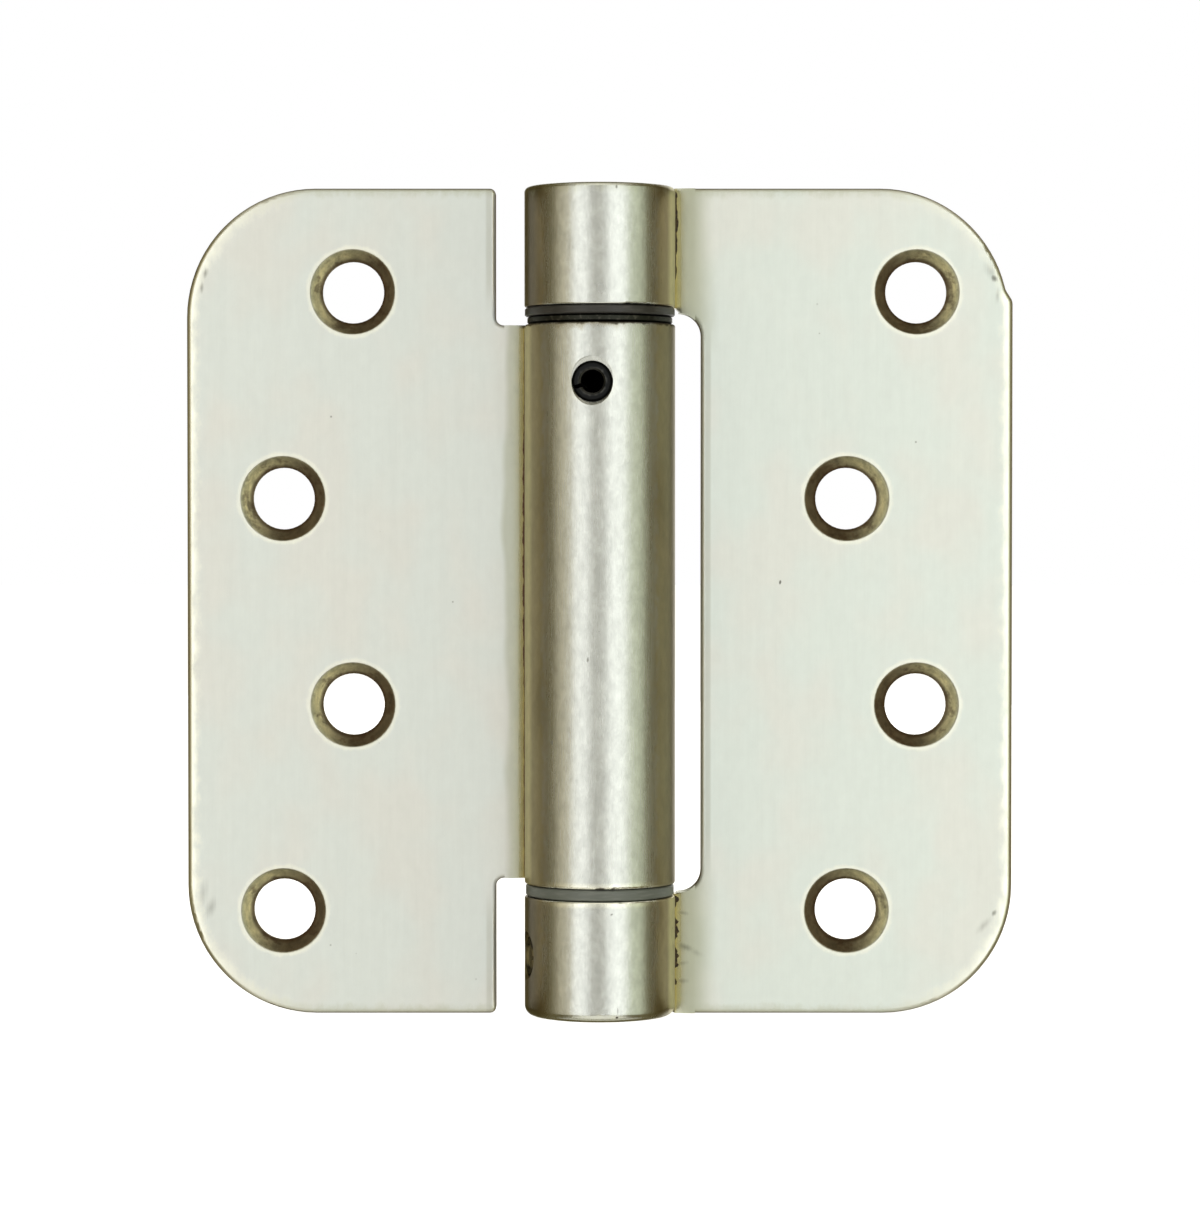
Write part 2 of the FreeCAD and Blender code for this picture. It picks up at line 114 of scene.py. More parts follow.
def add(
    tree: Tree, kind: str, inputs: Optional[Mapping[Any, Any]] = None, out: Any = 0, **settings: Any
) -> Optional[Socket]:
    """Add one node with its settings and links.

    Args:
        tree: node tree that gets the node.
        kind: type of the node, without Blender's ShaderNode in front.
        inputs: what each input gets, by name or number: a socket is linked, a value is set.
        out: name or number of the output that is wanted.
        settings: the node's own options.

    Returns:
        The wanted output, or None for a node that has no outputs.
    """
    node = tree.nodes.new("ShaderNode" + kind)
    for name, value in settings.items():
        setattr(node, name, value)
    for key, value in (inputs or {}).items():
        if isinstance(value, bpy.types.NodeSocket):
            tree.links.new(value, node.inputs[key])
        else:
            node.inputs[key].default_value = value
    return node.outputs[out] if len(node.outputs) else None


def millimetres(tree: Tree) -> Socket:
    """Give the place on the piece in millimetres, from its Object coordinates."""
    place = add(tree, "TexCoord", out="Object")
    return add(tree, "VectorMath", {0: place, "Scale": PER_METRE}, operation="SCALE")


def pin_distance(tree: Tree, place: Socket) -> Socket:
    """Give the distance of a place from the pin axis, the length of its X and Y."""
    flat = add(tree, "VectorMath", {0: place, 1: ACROSS_PIN}, operation="MULTIPLY")
    return add(tree, "VectorMath", {0: flat}, out="Value", operation="LENGTH")


@dataclass(frozen=True)
class Fade:
    """A ramp along a length or a pattern, from one value of it to another."""

    start: float
    whole: float
    most: float = 1.0  # what it gives at the whole end
    least: float = 0.0  # what it gives at the start

    def over(self, source: Socket) -> dict[int, Any]:
        """Give the numbered inputs of a ramp over the source."""
        return {0: source, 1: self.start, 2: self.whole, 3: self.least, 4: self.most}


@dataclass(frozen=True)
class Grain:
    """Noise in spots of one size, across and along the pin axis."""

    across: float
    along: float
    octaves: float
    roughness: float = 0.5

    def noise(self, tree: Tree, place: Socket) -> Socket:
        """Make the noise on a place that is divided by the size of a spot.

        Args:
            tree: node tree to build in.
            place: place on the piece in millimetres.

        Returns:
            The noise, around a half.
        """
        spot = (self.across, self.across, self.along)
        spots = add(tree, "VectorMath", {0: place, 1: spot}, operation="DIVIDE")
        noise = {0: spots, "Scale": 1.0, "Detail": self.octaves, "Roughness": self.roughness}
        return add(tree, "TexNoise", noise)


@dataclass(frozen=True)
class Relief:
    """A fine relief: how strongly it shows, and its depth in millimetres."""

    strength: float
    depth: float

    def over(self, height: Socket) -> dict[str, Any]:
        """Give the named inputs of a relief that follows the height."""
        return {"Height": height, "Strength": self.strength, "Distance": self.depth * MM}


class Finish:
    """A surface finish that makes its own node material."""

    name: str = "finish"

    def shade(self, tree: Tree) -> Socket:
        """Build the shader in tree and return its output."""
        raise NotImplementedError

    def coat(
        self,
        tree: Tree,
        base: str,
        layers: Sequence[tuple[Socket, str]],
        rough: Socket,
        relief: Mapping[str, Any],
        **shader: Any,
    ) -> Socket:
        """Lay colours over one another and close the shader.

        Args:
            tree: node tree to build in.
            base: the lowest colour.
            layers: share and colour of each layer over it.
            rough: roughness.
            relief: inputs of the fine relief.
            shader: the shader's other inputs.

        Returns:
            The shader output.
        """
        colour = linear(base)
        for share, over in layers:
            colour = add(tree, "Mix", {0: share, 6: colour, 7: linear(over)}, out=2, **COLOUR)
        normal = add(tree, "Bump", relief, out="Normal")
        skin = {"Base Color": colour, "Roughness": rough, "Normal": normal}
        return add(tree, "BsdfPrincipled", {**skin, **shader})

    def material(self) -> bpy.types.Material:
        """Make the material.

        Returns:
            A new node material named for the finish.
        """
        made = bpy.data.materials.new(self.name)
        made.use_nodes = True
        made.node_tree.nodes.clear()
        add(made.node_tree, "OutputMaterial", {"Surface": self.shade(made.node_tree)})
        return made


@dataclass(frozen=True)
class Mark:
    """One handling mark: an ellipse round x and z, in millimetres and degrees."""

    x: float
    z: float
    across: float
    along: float
    depth: float = 0.8
    turn: float = 0.0
    blur: float = 0.7  # share of its size over which it fades out


@dataclass(frozen=True)
class PinPlace:
    """Where a pin goes into a roll: the way it points from the hinge's axis, and its height."""

    bearing: float  # degrees from the front, towards the left leaf
    height: float

    def aside(self, tree: Tree, place: Socket) -> Socket:
        """Distance from the pin's own axis, counted only on the side that the pin points to.

        The place is turned until the pin points along -Y, and what is left of it without the
        Y of the pin's side is measured.

        Args:
            tree: node tree to build in.
            place: place on the piece in millimetres.

        Returns:
            The distance in millimetres.
        """
        turn = (0, 0, -math.radians(self.bearing))
        turned = {"Vector": place, "Location": (0, 0, self.height), "Rotation": turn}
        turned = add(tree, "Mapping", turned, vector_type="TEXTURE")
        x, y, z = (add(tree, "SeparateXYZ", {0: turned}, out=axis) for axis in ("X", "Y", "Z"))
        behind = add(tree, "Math", {0: y, 1: 0.0}, operation="MAXIMUM")
        rest = add(tree, "CombineXYZ", {0: x, 1: behind, 2: z})
        return add(tree, "VectorMath", {0: rest}, out="Value", operation="LENGTH")


@dataclass(frozen=True)
class SatinNickelPlate(Finish):
    """Nickel plate on rolled steel sheet, brushed along the pin axis with a fine belt.

    The eye sees a pale, faintly green metal with upright hairlines that spread its gloss
    sideways, painted cream highlights along the upright edges, painted light and shade on the
    olive-gold and brown countersinks, painted shade beside the roll, and a smoother, lightly
    mottled roll whose olive-brown flanks are painted reflection and shade.
    """

    name: str = "satin_nickel_plate_brushed"
    side: Side = Side.LEFT
    holes: tuple[tuple[float, float], ...] = ()
    marks: tuple[Mark, ...] = ()
    pin: PinPlace = PinPlace(0.0, 0.0)
    roll_end: float = 0.0  # height of the roll's end that is rubbed bright
    smudge_height: float = HALF_HEIGHT  # golden smudges on a roll above this height
    inner_edge: float = 12.45  # where the slot or the notches end, from the axis
    inner_rows: Fade = Fade(34.6, 30.0)  # heights where that edge stops and starts
    bend: Fade = Fade(16.4, 12.8, 0.78)  # painted shade beside the roll, from the axis, with the 1.5 mm that clouds add
    bend_corner_shade: Fade = Fade(11.4, 9.6, 0.05)  # how much further the painted shade goes in the roll's corner
    plate: str = "#EDF3F0"
    plate_warm: str = "#F1F0EC"
    roll: str = "#D9DBD7"
    # painted shade, on the bend beside the roll and along the level edges
    painted_shade_tone: str = "#C0C2AC"
    # painted reflection and shade on the roll's flanks, darker on the far side; the smudges share
    # these colours
    painted_flank_shade: str = "#948660"
    painted_flank_reflection: str = "#C0B47E"
    painted_far_flank_shade: str = "#7C7048"
    painted_far_rim_reflection: str = "#7A6C3A"
    # darker and browner, mottled, right beside the seam
    seam_tint_tone: str = "#B4AC94"
    cut_edge: str = "#7D7057"
    edge_shadow: str = "#BFC0B4"
    # painted shade and painted light on the countersinks' inner and outer walls, rust that also serves
    # as painted shade at the inner lip, and a painted sheen on the outer lip
    painted_sink_shade: str = "#7A6C53"
    painted_sink_light: str = "#D8D2B0"
    sink_rust_and_shade: str = "#5C442C"
    painted_sink_sheen: str = "#CFD0B8"
    # painted highlight and rub: along the upright and inner edges, round the countersinks and the pin
    # hole, and on the roll's end
    edge_highlight_and_rub: str = "#FDFCEE"
    soil: str = "#3B3226"
    hair: Grain = Grain(0.28, 8.0, 3.0, 0.66)  # real ones are near 0.05 mm, drawn wider to show
    streak: Grain = Grain(1.0, 13.0, 2.0, 0.66)
    cloud: Grain = Grain(13.0, 18.2, 2.0, 0.66)
    mottle: Grain = Grain(1.1, 1.76, 4.0, 0.66)
    rust: Grain = Grain(2.2, 2.2, 3.0, 0.66)
    hair_relief: Relief = Relief(0.5, 0.004)
    dimple_relief: Relief = Relief(0.6, 0.03)
    die_relief: Relief = Relief(1.0, 0.22)
    die_roll: float = 1.7  # width of the slope that the punch drew along the outline
    pit_spacing: float = 3.0
    pit_size: Fade = Fade(0.06, 0.02)  # shares of the spacing
    pit_chance: Fade = Fade(0.86, 0.97, 0.4)
    mark_edge: float = 1.45  # where a mark's frayed edge ends, in halves of its size
    mark_fray: float = 0.9
    hole_reach: float = 7.0  # distance within which a point belongs to a screw hole
    wall_rise: float = 0.4  # how much the painted bright wall of a countersink leans upwards
    anisotropy: float = 0.6
    leaf_roughness: float = 0.49  # both without the hairlines, which add 0.06 on average
    roll_roughness: float = 0.2

    def shade(self, tree: Tree) -> Socket:
        """Build the brushed plate from masks on the leaf's own sizes.

        Args:
            tree: node tree to build in.

        Returns:
            The shader output.
        """
        at = self.masks(tree, self.measures(tree))
        normal = add(tree, "NewGeometry", out="Normal")
        sideways = add(tree, "VectorMath", {0: BRUSHED_WAY, 1: normal}, operation="CROSS_PRODUCT")
        return add(
            tree,
            "BsdfPrincipled",
            {
                "Base Color": self.colour(tree, at),
                "Metallic": 1.0,
                "Roughness": self.gloss(tree, at),
                "Anisotropic": self.anisotropy,
                "Tangent": sideways,
                "Normal": self.relief(tree, at),
            },
        )

    def measures(self, tree: Tree) -> dict[str, Socket]:
        """Measure the place in the leaf's own terms, and make the patterns.

        Args:
            tree: node tree to build in.

        Returns:
            Lengths in millimetres, patterns and shares, by name.
        """
        place, sign = millimetres(tree), float(self.side.value)
        at = {axis: add(tree, "SeparateXYZ", {0: place}, out=axis) for axis in ("X", "Y", "Z")}
        at["place"] = place
        at["from_axis"] = pin_distance(tree, place)
        at["from_pin"] = self.pin.aside(tree, place)
        at.update(self.screw_holes(tree, place))
        at.update(self.outer_edge(tree, place))
        patterns = {
            "hair": self.hair,
            "streak": self.streak,
            "cloud": self.cloud,
            "mottle": self.mottle,
            "rust": self.rust,
        }
        for name, grain in patterns.items():
            at[name] = grain.noise(tree, place)

        # Distances from a line, on either side of it
        lines = {
            "beside": ("X", 0.0),
            "high": ("Z", 0.0),
            "from_end": ("Z", self.roll_end),
            "from_inner_line": ("X", sign * (self.inner_edge + 0.28)),
            "from_inner_band": ("X", sign * (self.inner_edge + 0.85)),
        }
        for name, (axis, middle) in lines.items():
            off = add(tree, "Math", {0: at[axis], 1: middle}, operation="SUBTRACT")
            at[name] = add(tree, "Math", {0: off}, operation="ABSOLUTE")
        at["by_gap"] = add(tree, "MapRange", self.inner_rows.over(at["high"]))

        # Sums: what is counted, how many times, and what it is added to
        sums = {
            "own": ("X", sign, 0.0),
            "joined": ("by_gap", -1.0, 1.0),
            "sink_frayed": ("mottle", -0.8, "nearest"),
            "edge_mottled": ("mottle", 2.2, "edge"),
            "edge_frayed": ("corner", 0.8, "edge_mottled"),
            "bend_wavy": ("cloud", 3.0, "from_axis"),
            "seam_frayed": ("mottle", -2.4, "from_axis"),
            "flank_frayed": ("mottle", 1.4, "beside"),
            "height_frayed": ("mottle", 2.6, "Z"),
            "height_crumbled": ("mottle", 1.2, "Z"),
            "brushed": ("hair", 1.0, "streak"),
        }
        for name, (source, times, to) in sums.items():
            parts = {0: at[source], 1: times, 2: at.get(to, to)}
            at[name] = add(tree, "Math", parts, operation="MULTIPLY_ADD")
        return at

    def masks(self, tree: Tree, at: Mapping[str, Socket]) -> dict[str, Socket]:
        """Fade masks in along the measures, and join them.

        Args:
            tree: node tree to build in.
            at: lengths, patterns and shares by name.

        Returns:
            The same with the masks, each from nought to one.
        """
        top = self.smudge_height + 1.0
        fades = {
            # The roll, the leaf and their sides
            "on_roll": ("from_axis", Fade(11.4, 9.7)),
            "rolled": ("from_axis", Fade(9.7, 9.4)),
            "not_roll": ("from_axis", Fade(9.35, 9.7)),
            "off_roll": ("from_axis", Fade(10.8, 12.3)),
            "front": ("Y", Fade(1.3, 1.0)),
            "facing": ("Y", Fade(6.0, 2.0)),
            "within": ("Y", Fade(BACK_Y - 0.02, BACK_Y - 0.15)),
            "own_half": ("own", Fade(-5.0, 1.0, least=0.25)),
            "warm": ("cloud", Fade(0.42, 0.66, 0.7)),
            # Countersinks: painted light on the outer wall, painted shade on the inner wall and at the
            # inner lip, a painted sheen on the outer lip, rust, and the rim that the cutter left round
            # them
            "in_sink": ("nearest", Fade(5.45, 5.2)),
            "below_rim": ("Y", Fade(FRONT_Y + 0.02, FRONT_Y + 0.18)),
            "sink_rim": ("sink_frayed", Fade(5.5, 4.9, 0.7)),
            "inner_lip_shade": ("nearest", Fade(4.3, 3.9, 0.7)),
            "outer_lip_sheen": ("nearest", Fade(4.6, 5.25, 0.6)),
            "lit_wall": ("outwards", Fade(-3.0, 4.6)),
            "rusty": ("rust", Fade(0.5, 0.64, 0.5)),
            # Edges of the sheet: a painted highlight along the upright ones, painted shade along the
            # level ones, a painted highlight line and a painted shade band along the slot and the
            # notches, browner where cut
            "rubbed": ("edge_frayed", Fade(-0.75, 0.75, 0.95)),
            "level_edge_shade": ("edge_frayed", Fade(-0.35, 1.05, 0.45)),
            "inner_edge_highlight": ("from_inner_line", Fade(0.2, 0.06, 0.7)),
            "inner_band": ("from_inner_band", Fade(0.5, 0.15, 0.4)),
            "cut": ("Y", Fade(FRONT_Y + 0.2, FRONT_Y + 0.4)),
            # The end of a roll, rubbed bright, and a painted highlight on the rim of its pin hole
            "end_rim": ("from_end", Fade(0.95, 0.35, 0.7)),
            "pin_rim_highlight": ("from_pin", Fade(3.2, 2.8, 0.15)),
            # Painted shade on the bend beside the roll, a mottled tint by the seam, painted reflection
            # and shade on the roll's flanks, and smudges under the thrust rings
            "bend": ("bend_wavy", self.bend),
            "bend_corner_shade": ("from_axis", self.bend_corner_shade),
            "seam_tint": ("seam_frayed", Fade(9.4, 8.2, 0.4)),
            "flank_shade_and_smudge": ("flank_frayed", Fade(6.1, 8.1, 0.93)),
            "smudge": ("height_frayed", Fade(top, top + 1.0, 0.65)),
            "crumbs": ("height_crumbled", Fade(top, top + 0.3, 0.85)),
            "at_leaf": ("own", Fade(8.15, 8.75)),
            "far_side": ("own", Fade(-6.8, -8.2)),
            "far_rim": ("own", Fade(-8.55, -8.95)),
        }
        made = dict(at)
        for name, (source, fade) in fades.items():
            made[name] = add(tree, "MapRange", fade.over(at[source]), **SMOOTH)
        made["soiled"] = self.soiling(tree, at["place"], at["hair"], made["front"])
        joins = (
            ("in_sink", "MULTIPLY", "in_sink", "below_rim", "within"),
            ("outer_lip_sheen", "MULTIPLY", "outer_lip_sheen", "lit_wall"),
            ("sink_rim", "MULTIPLY", "sink_rim", "front"),
            ("inner_edge_highlight", "MULTIPLY", "inner_edge_highlight", "by_gap"),
            ("inner_band", "MULTIPLY", "inner_band", "by_gap"),
            ("rubbed", "MULTIPLY", "rubbed", "upright"),
            ("rubbed", "MAXIMUM", "rubbed", "inner_edge_highlight", "sink_rim"),
            ("level_edge_shade", "MULTIPLY", "level_edge_shade", "level"),
            ("cut", "MULTIPLY", "cut", "off_roll", "within"),
            ("roll_rim", "MAXIMUM", "end_rim", "pin_rim_highlight"),
            ("roll_rim", "MULTIPLY", "roll_rim", "rolled"),
            ("bend", "MULTIPLY", "bend", "joined"),
            ("bend", "ADD", "bend", "bend_corner_shade"),
            ("bend", "MULTIPLY", "bend", "not_roll"),
            ("seam_tint", "MULTIPLY", "seam_tint", "not_roll"),
            ("flank_shade_and_smudge", "MULTIPLY", "flank_shade_and_smudge", "facing"),
            ("smudge", "MULTIPLY", "smudge", "own_half"),
            ("flank_shade_and_smudge", "MAXIMUM", "flank_shade_and_smudge", "smudge"),
            ("flank_shade_and_smudge", "MULTIPLY", "flank_shade_and_smudge", "rolled"),
            ("crumbs", "MULTIPLY", "crumbs", "rolled"),
            ("soiled", "MAXIMUM", "soiled", "crumbs"),
            ("dimples", "MULTIPLY", "mottle", "on_roll"),
        )
        for name, operation, first, *others in joins:
            total = made[first]
            for other in others:
                total = add(tree, "Math", {0: total, 1: made[other]}, operation=operation)
            made[name] = total
        return made

    def colour(self, tree: Tree, at: Mapping[str, Socket]) -> Socket:
        """Lay the colours over one another and tint them with the patterns.

        Args:
            tree: node tree to build in.
            at: masks and patterns by name.

        Returns:
            The colour.
        """
        # Colour stacks: the flanks' painted reflection and shade, also used for the smudges; the
        # countersinks' painted light, shade, sheen and rust; the plate with its painted highlights and
        # shades
        stacks = {
            "flank_shade_and_smudge_tone": (
                self.painted_flank_shade,
                ("at_leaf", self.painted_flank_reflection),
                ("far_side", self.painted_far_flank_shade),
                ("far_rim", self.painted_far_rim_reflection),
            ),
            "sink_tone": (
                self.painted_sink_shade,
                ("lit_wall", self.painted_sink_light),
                ("rusty", self.sink_rust_and_shade),
                ("inner_lip_shade", self.sink_rust_and_shade),
                ("outer_lip_sheen", self.painted_sink_sheen),
            ),
            "plate_tone": (
                self.plate,
                ("warm", self.plate_warm),
                ("on_roll", self.roll),
                ("bend", self.painted_shade_tone),
                ("seam_tint", self.seam_tint_tone),
                ("roll_rim", self.edge_highlight_and_rub),
                ("flank_shade_and_smudge", "flank_shade_and_smudge_tone"),
                ("level_edge_shade", self.painted_shade_tone),
                ("inner_band", self.edge_shadow),
                ("rubbed", self.edge_highlight_and_rub),
                ("cut", self.cut_edge),
                ("in_sink", "sink_tone"),
            ),
        }
        tones = {}
        for name, (base, *layers) in stacks.items():
            tone = linear(base)
            for share, over in layers:
                over = tones[over] if over in tones else linear(over)
                tone = add(tree, "Mix", {0: at[share], 6: tone, 7: over}, out=2, **COLOUR)
            tones[name] = tone

        # Brightness along each pattern, with a painted light gradient that brightens the leaf towards
        # its outer edge; the plate's speckle gives way on the roll and in a sink
        tints = {
            "brushing": ("brushed", Fade(0.6, 1.4, 1.02, 0.978)),
            "painted_light_gradient": ("own", Fade(12.0, 48.0, 1.03, 0.975)),
            "speckle": ("mottle", Fade(0.3, 0.7, 1.015, 0.985)),
            "blotch": ("mottle", Fade(0.3, 0.7, 1.1, 0.88)),
            "grime": ("mottle", Fade(0.35, 0.65, 1.2, 0.8)),
        }
        tint = {
            name: add(tree, "MapRange", fade.over(at[source]))
            for name, (source, fade) in tints.items()
        }
        spots = tint["speckle"]
        for share, over in (("on_roll", "blotch"), ("in_sink", "grime")):
            spots = add(tree, "Mix", {0: at[share], 2: spots, 3: tint[over]}, data_type="FLOAT")
        bright = add(tree, "Math", {0: tint["brushing"], 1: tint["painted_light_gradient"]}, operation="MULTIPLY")
        bright = add(tree, "Math", {0: bright, 1: spots}, operation="MULTIPLY")
        tinted = {0: 1.0, 6: tones["plate_tone"], 7: bright}
        tinted = add(tree, "Mix", tinted, out=2, blend_type="MULTIPLY", **COLOUR)
        soiled = {0: at["soiled"], 6: tinted, 7: linear(self.soil)}
        return add(tree, "Mix", soiled, out=2, **COLOUR)

    def gloss(self, tree: Tree, at: Mapping[str, Socket]) -> Socket:
        """Add up the roughness, to which each share adds its own amount.

        Args:
            tree: node tree to build in.
            at: masks and patterns by name.

        Returns:
            The roughness.
        """
        rough = {0: at["on_roll"], 2: self.leaf_roughness, 3: self.roll_roughness}
        rough = add(tree, "Mix", rough, data_type="FLOAT")
        amounts = {
            "hair": 0.12,
            "soiled": 0.3,
            "rubbed": -0.27,
            "cut": 0.1,
            "in_sink": 0.35,
            "flank_shade_and_smudge": 0.06,
        }
        for share, amount in amounts.items():
            rough = {0: at[share], 1: amount, 2: rough}
            rough = add(tree, "Math", rough, operation="MULTIPLY_ADD")
        return rough

    def relief(self, tree: Tree, at: Mapping[str, Socket]) -> Socket:
        """Hairlines, the roll's dimples, and the slope that the punch drew along the outline.

        The slope falls with the square of the way from its inner line to the outline.

        Args:
            tree: node tree to build in.
            at: masks and patterns by name.

        Returns:
            The shading normal.
        """
        drop = add(tree, "MapRange", Fade(-self.die_roll, 0.0).over(at["edge"]))
        drop = add(tree, "Math", {0: drop, 1: 2.0}, operation="POWER")
        drop = add(tree, "Math", {0: drop, 1: at["upright"]}, operation="MULTIPLY")
        normal = add(tree, "Bump", self.hair_relief.over(at["hair"]), out="Normal")
        dimples = {**self.dimple_relief.over(at["dimples"]), "Normal": normal}
        normal = add(tree, "Bump", dimples, out="Normal")
        slope = {**self.die_relief.over(drop), "Normal": normal}
        return add(tree, "Bump", slope, out="Normal", invert=True)

    def screw_holes(self, tree: Tree, place: Socket) -> dict[str, Socket]:
        """Measure from the screw holes, in the plane of the leaf.

        Args:
            tree: node tree to build in.
            place: place on the piece in millimetres.

        Returns:
            The distance to the nearest hole's centre, and inside a countersink how far a point
            lies outwards, from that centre towards the outer edge and a little upwards.
        """
        outer_way = (float(self.side.value), 0, self.wall_rise)
        in_leaf = add(tree, "VectorMath", {0: place, 1: IN_LEAF}, operation="MULTIPLY")
        nearest = outwards = None
        for hole_x, hole_z in self.holes:
            from_hole = {0: in_leaf, 1: (hole_x, 0, hole_z)}
            from_hole = add(tree, "VectorMath", from_hole, operation="SUBTRACT")
            away = add(tree, "VectorMath", {0: from_hole}, out="Value", operation="LENGTH")
            here = add(tree, "Math", {0: away, 1: self.hole_reach}, operation="LESS_THAN")
            offset = {0: from_hole, 1: outer_way}
            offset = add(tree, "VectorMath", offset, out="Value", operation="DOT_PRODUCT")
            offset = add(tree, "Math", {0: offset, 1: here}, operation="MULTIPLY")
            if nearest is not None:
                away = add(tree, "Math", {0: nearest, 1: away}, operation="MINIMUM")
                offset = add(tree, "Math", {0: outwards, 1: offset}, operation="ADD")
            nearest, outwards = away, offset
        return {"nearest": nearest, "outwards": outwards}

    def outer_edge(self, tree: Tree, place: Socket) -> dict[str, Socket]:
        """Measure past the outline, a rectangle with round corners, and tell which edge is near.

        Args:
            tree: node tree to build in.
            place: place on the piece in millimetres.

        Returns:
            The distance past the edge in millimetres, negative inside; shares that are one along
            the upright edges and along the level ones; and their product, found in the corners.
        """
        inset = (LEAF_REACH - CORNER_RADIUS, 0, HALF_HEIGHT - CORNER_RADIUS)
        past = add(tree, "VectorMath", {0: place}, operation="ABSOLUTE")
        for operation, by in (("SUBTRACT", inset), ("MULTIPLY", IN_LEAF), ("MAXIMUM", (0, 0, 0))):
            past = add(tree, "VectorMath", {0: past, 1: by}, operation=operation)
        reach = add(tree, "VectorMath", {0: past}, out="Value", operation="LENGTH")
        aside = add(tree, "SeparateXYZ", {0: past}, out="X")
        edge = add(tree, "Math", {0: reach, 1: CORNER_RADIUS}, operation="SUBTRACT")
        upright = add(tree, "Math", {0: aside, 1: reach}, operation="DIVIDE")
        level = add(tree, "Math", {0: 1.0, 1: upright}, operation="SUBTRACT")
        corner = add(tree, "Math", {0: upright, 1: level}, operation="MULTIPLY")
        return {"edge": edge, "upright": upright, "level": level, "corner": corner}

    def soiling(self, tree: Tree, place: Socket, hair: Socket, front: Socket) -> Socket:
        """Mask of the handling marks and the small pits on the front.

        Args:
            tree: node tree to build in.
            place: place on the piece in millimetres.
            hair: hairline pattern that frays the marks.
            front: mask of the side that faces the screws' heads.

        Returns:
            A mask from nought to one.
        """
        cells = {0: place, "Scale": 1.0 / self.pit_spacing, "Randomness": 1.0}
        near = add(tree, "TexVoronoi", cells, out="Distance")
        chance = add(tree, "TexVoronoi", cells, out="Color")
        chosen = add(tree, "SeparateColor", {0: chance}, out="Red")
        chosen = add(tree, "MapRange", self.pit_chance.over(chosen), **SMOOTH)
        pits = add(tree, "MapRange", self.pit_size.over(near), **SMOOTH)
        total = add(tree, "Math", {0: pits, 1: chosen}, operation="MULTIPLY")
        for mark in self.marks:
            local = {
                "Vector": place,
                "Location": (mark.x, 0, mark.z),
                "Rotation": (0, math.radians(mark.turn), 0),
                "Scale": (mark.across, THROUGH, mark.along),
            }
            local = add(tree, "Mapping", local, vector_type="TEXTURE")
            away = add(tree, "VectorMath", {0: local}, out="Value", operation="LENGTH")
            away = {0: hair, 1: self.mark_fray, 2: away}
            away = add(tree, "Math", away, operation="MULTIPLY_ADD")
            blot = Fade(self.mark_edge, self.mark_edge - mark.blur, mark.depth)
            blot = add(tree, "MapRange", blot.over(away), **SMOOTH)
            total = add(tree, "Math", {0: total, 1: blot}, operation="MAXIMUM")
        return add(tree, "Math", {0: total, 1: front}, operation="MULTIPLY")


@dataclass(frozen=True)
class TurnedSteel(Finish):
    """Free-cutting steel turned on a lathe and thinly zinc plated.

    The eye sees a mid-grey metal with fine rings round the axis, painted black as shade in its pin
    hole.
    """

    name: str = "zinc_plated_steel_turned"
    pin: PinPlace = PinPlace(0.0, 0.0)
    steel: str = "#A9A9A4"
    oil: str = "#6E6A5C"
    # painted shade, black, where the pin's hole opens onto the plug
    painted_hole_tone: str = "#050505"
    ring: float = 0.3
    film: Grain = Grain(2.857, 2.857, 4.0)
    oily: Fade = Fade(0.45, 0.7, 0.7)
    in_hole: Fade = Fade(3.4, 3.1)
    gloss: Fade = Fade(0.0, 1.0, 0.46, 0.26)
    rings: Relief = Relief(0.5, 0.006)

    def shade(self, tree: Tree) -> Socket:
        """Build rings round the pin axis with a little dried oil, and painted shade in the pin hole.

        Args:
            tree: node tree to build in.

        Returns:
            The shader output.
        """
        place = millimetres(tree)
        turns = {0: pin_distance(tree, place), 1: 2 * math.pi / self.ring}
        turns = add(tree, "Math", turns, operation="MULTIPLY")
        rings = add(tree, "Math", {0: turns}, operation="SINE")
        film = self.film.noise(tree, place)
        oily = add(tree, "MapRange", self.oily.over(film), **SMOOTH)
        in_hole = add(tree, "MapRange", self.in_hole.over(self.pin.aside(tree, place)), **SMOOTH)
        rough = add(tree, "MapRange", self.gloss.over(film))
        layers = ((oily, self.oil), (in_hole, self.painted_hole_tone))
        return self.coat(tree, self.steel, layers, rough, self.rings.over(rings), Metallic=1.0)


@dataclass(frozen=True)
class BlackOxideSteel(Finish):
    """Hardened steel with an oiled black oxide skin.

    The eye sees a near-black metal with soft grey gloss, greyer where it was rubbed.
    """

    name: str = "black_oxide_steel_oiled"
    skin: str = "#33342F"
    rubbed: str = "#6A665F"
    grain: Grain = Grain(0.5, 0.5, 4.0)
    worn: Fade = Fade(0.5, 0.75, 0.6)
    gloss: Fade = Fade(0.0, 1.0, 0.52, 0.34)
    pores: Relief = Relief(0.4, 0.02)

    def shade(self, tree: Tree) -> Socket:
        """Build the oxide skin with rubbed patches.

        Args:
            tree: node tree to build in.

        Returns:
            The shader output.
        """
        patch = self.grain.noise(tree, millimetres(tree))
        worn = add(tree, "MapRange", self.worn.over(patch), **SMOOTH)
        rough = add(tree, "MapRange", self.gloss.over(patch))
        layers = ((worn, self.rubbed),)
        return self.coat(tree, self.skin, layers, rough, self.pores.over(patch), Metallic=1.0)


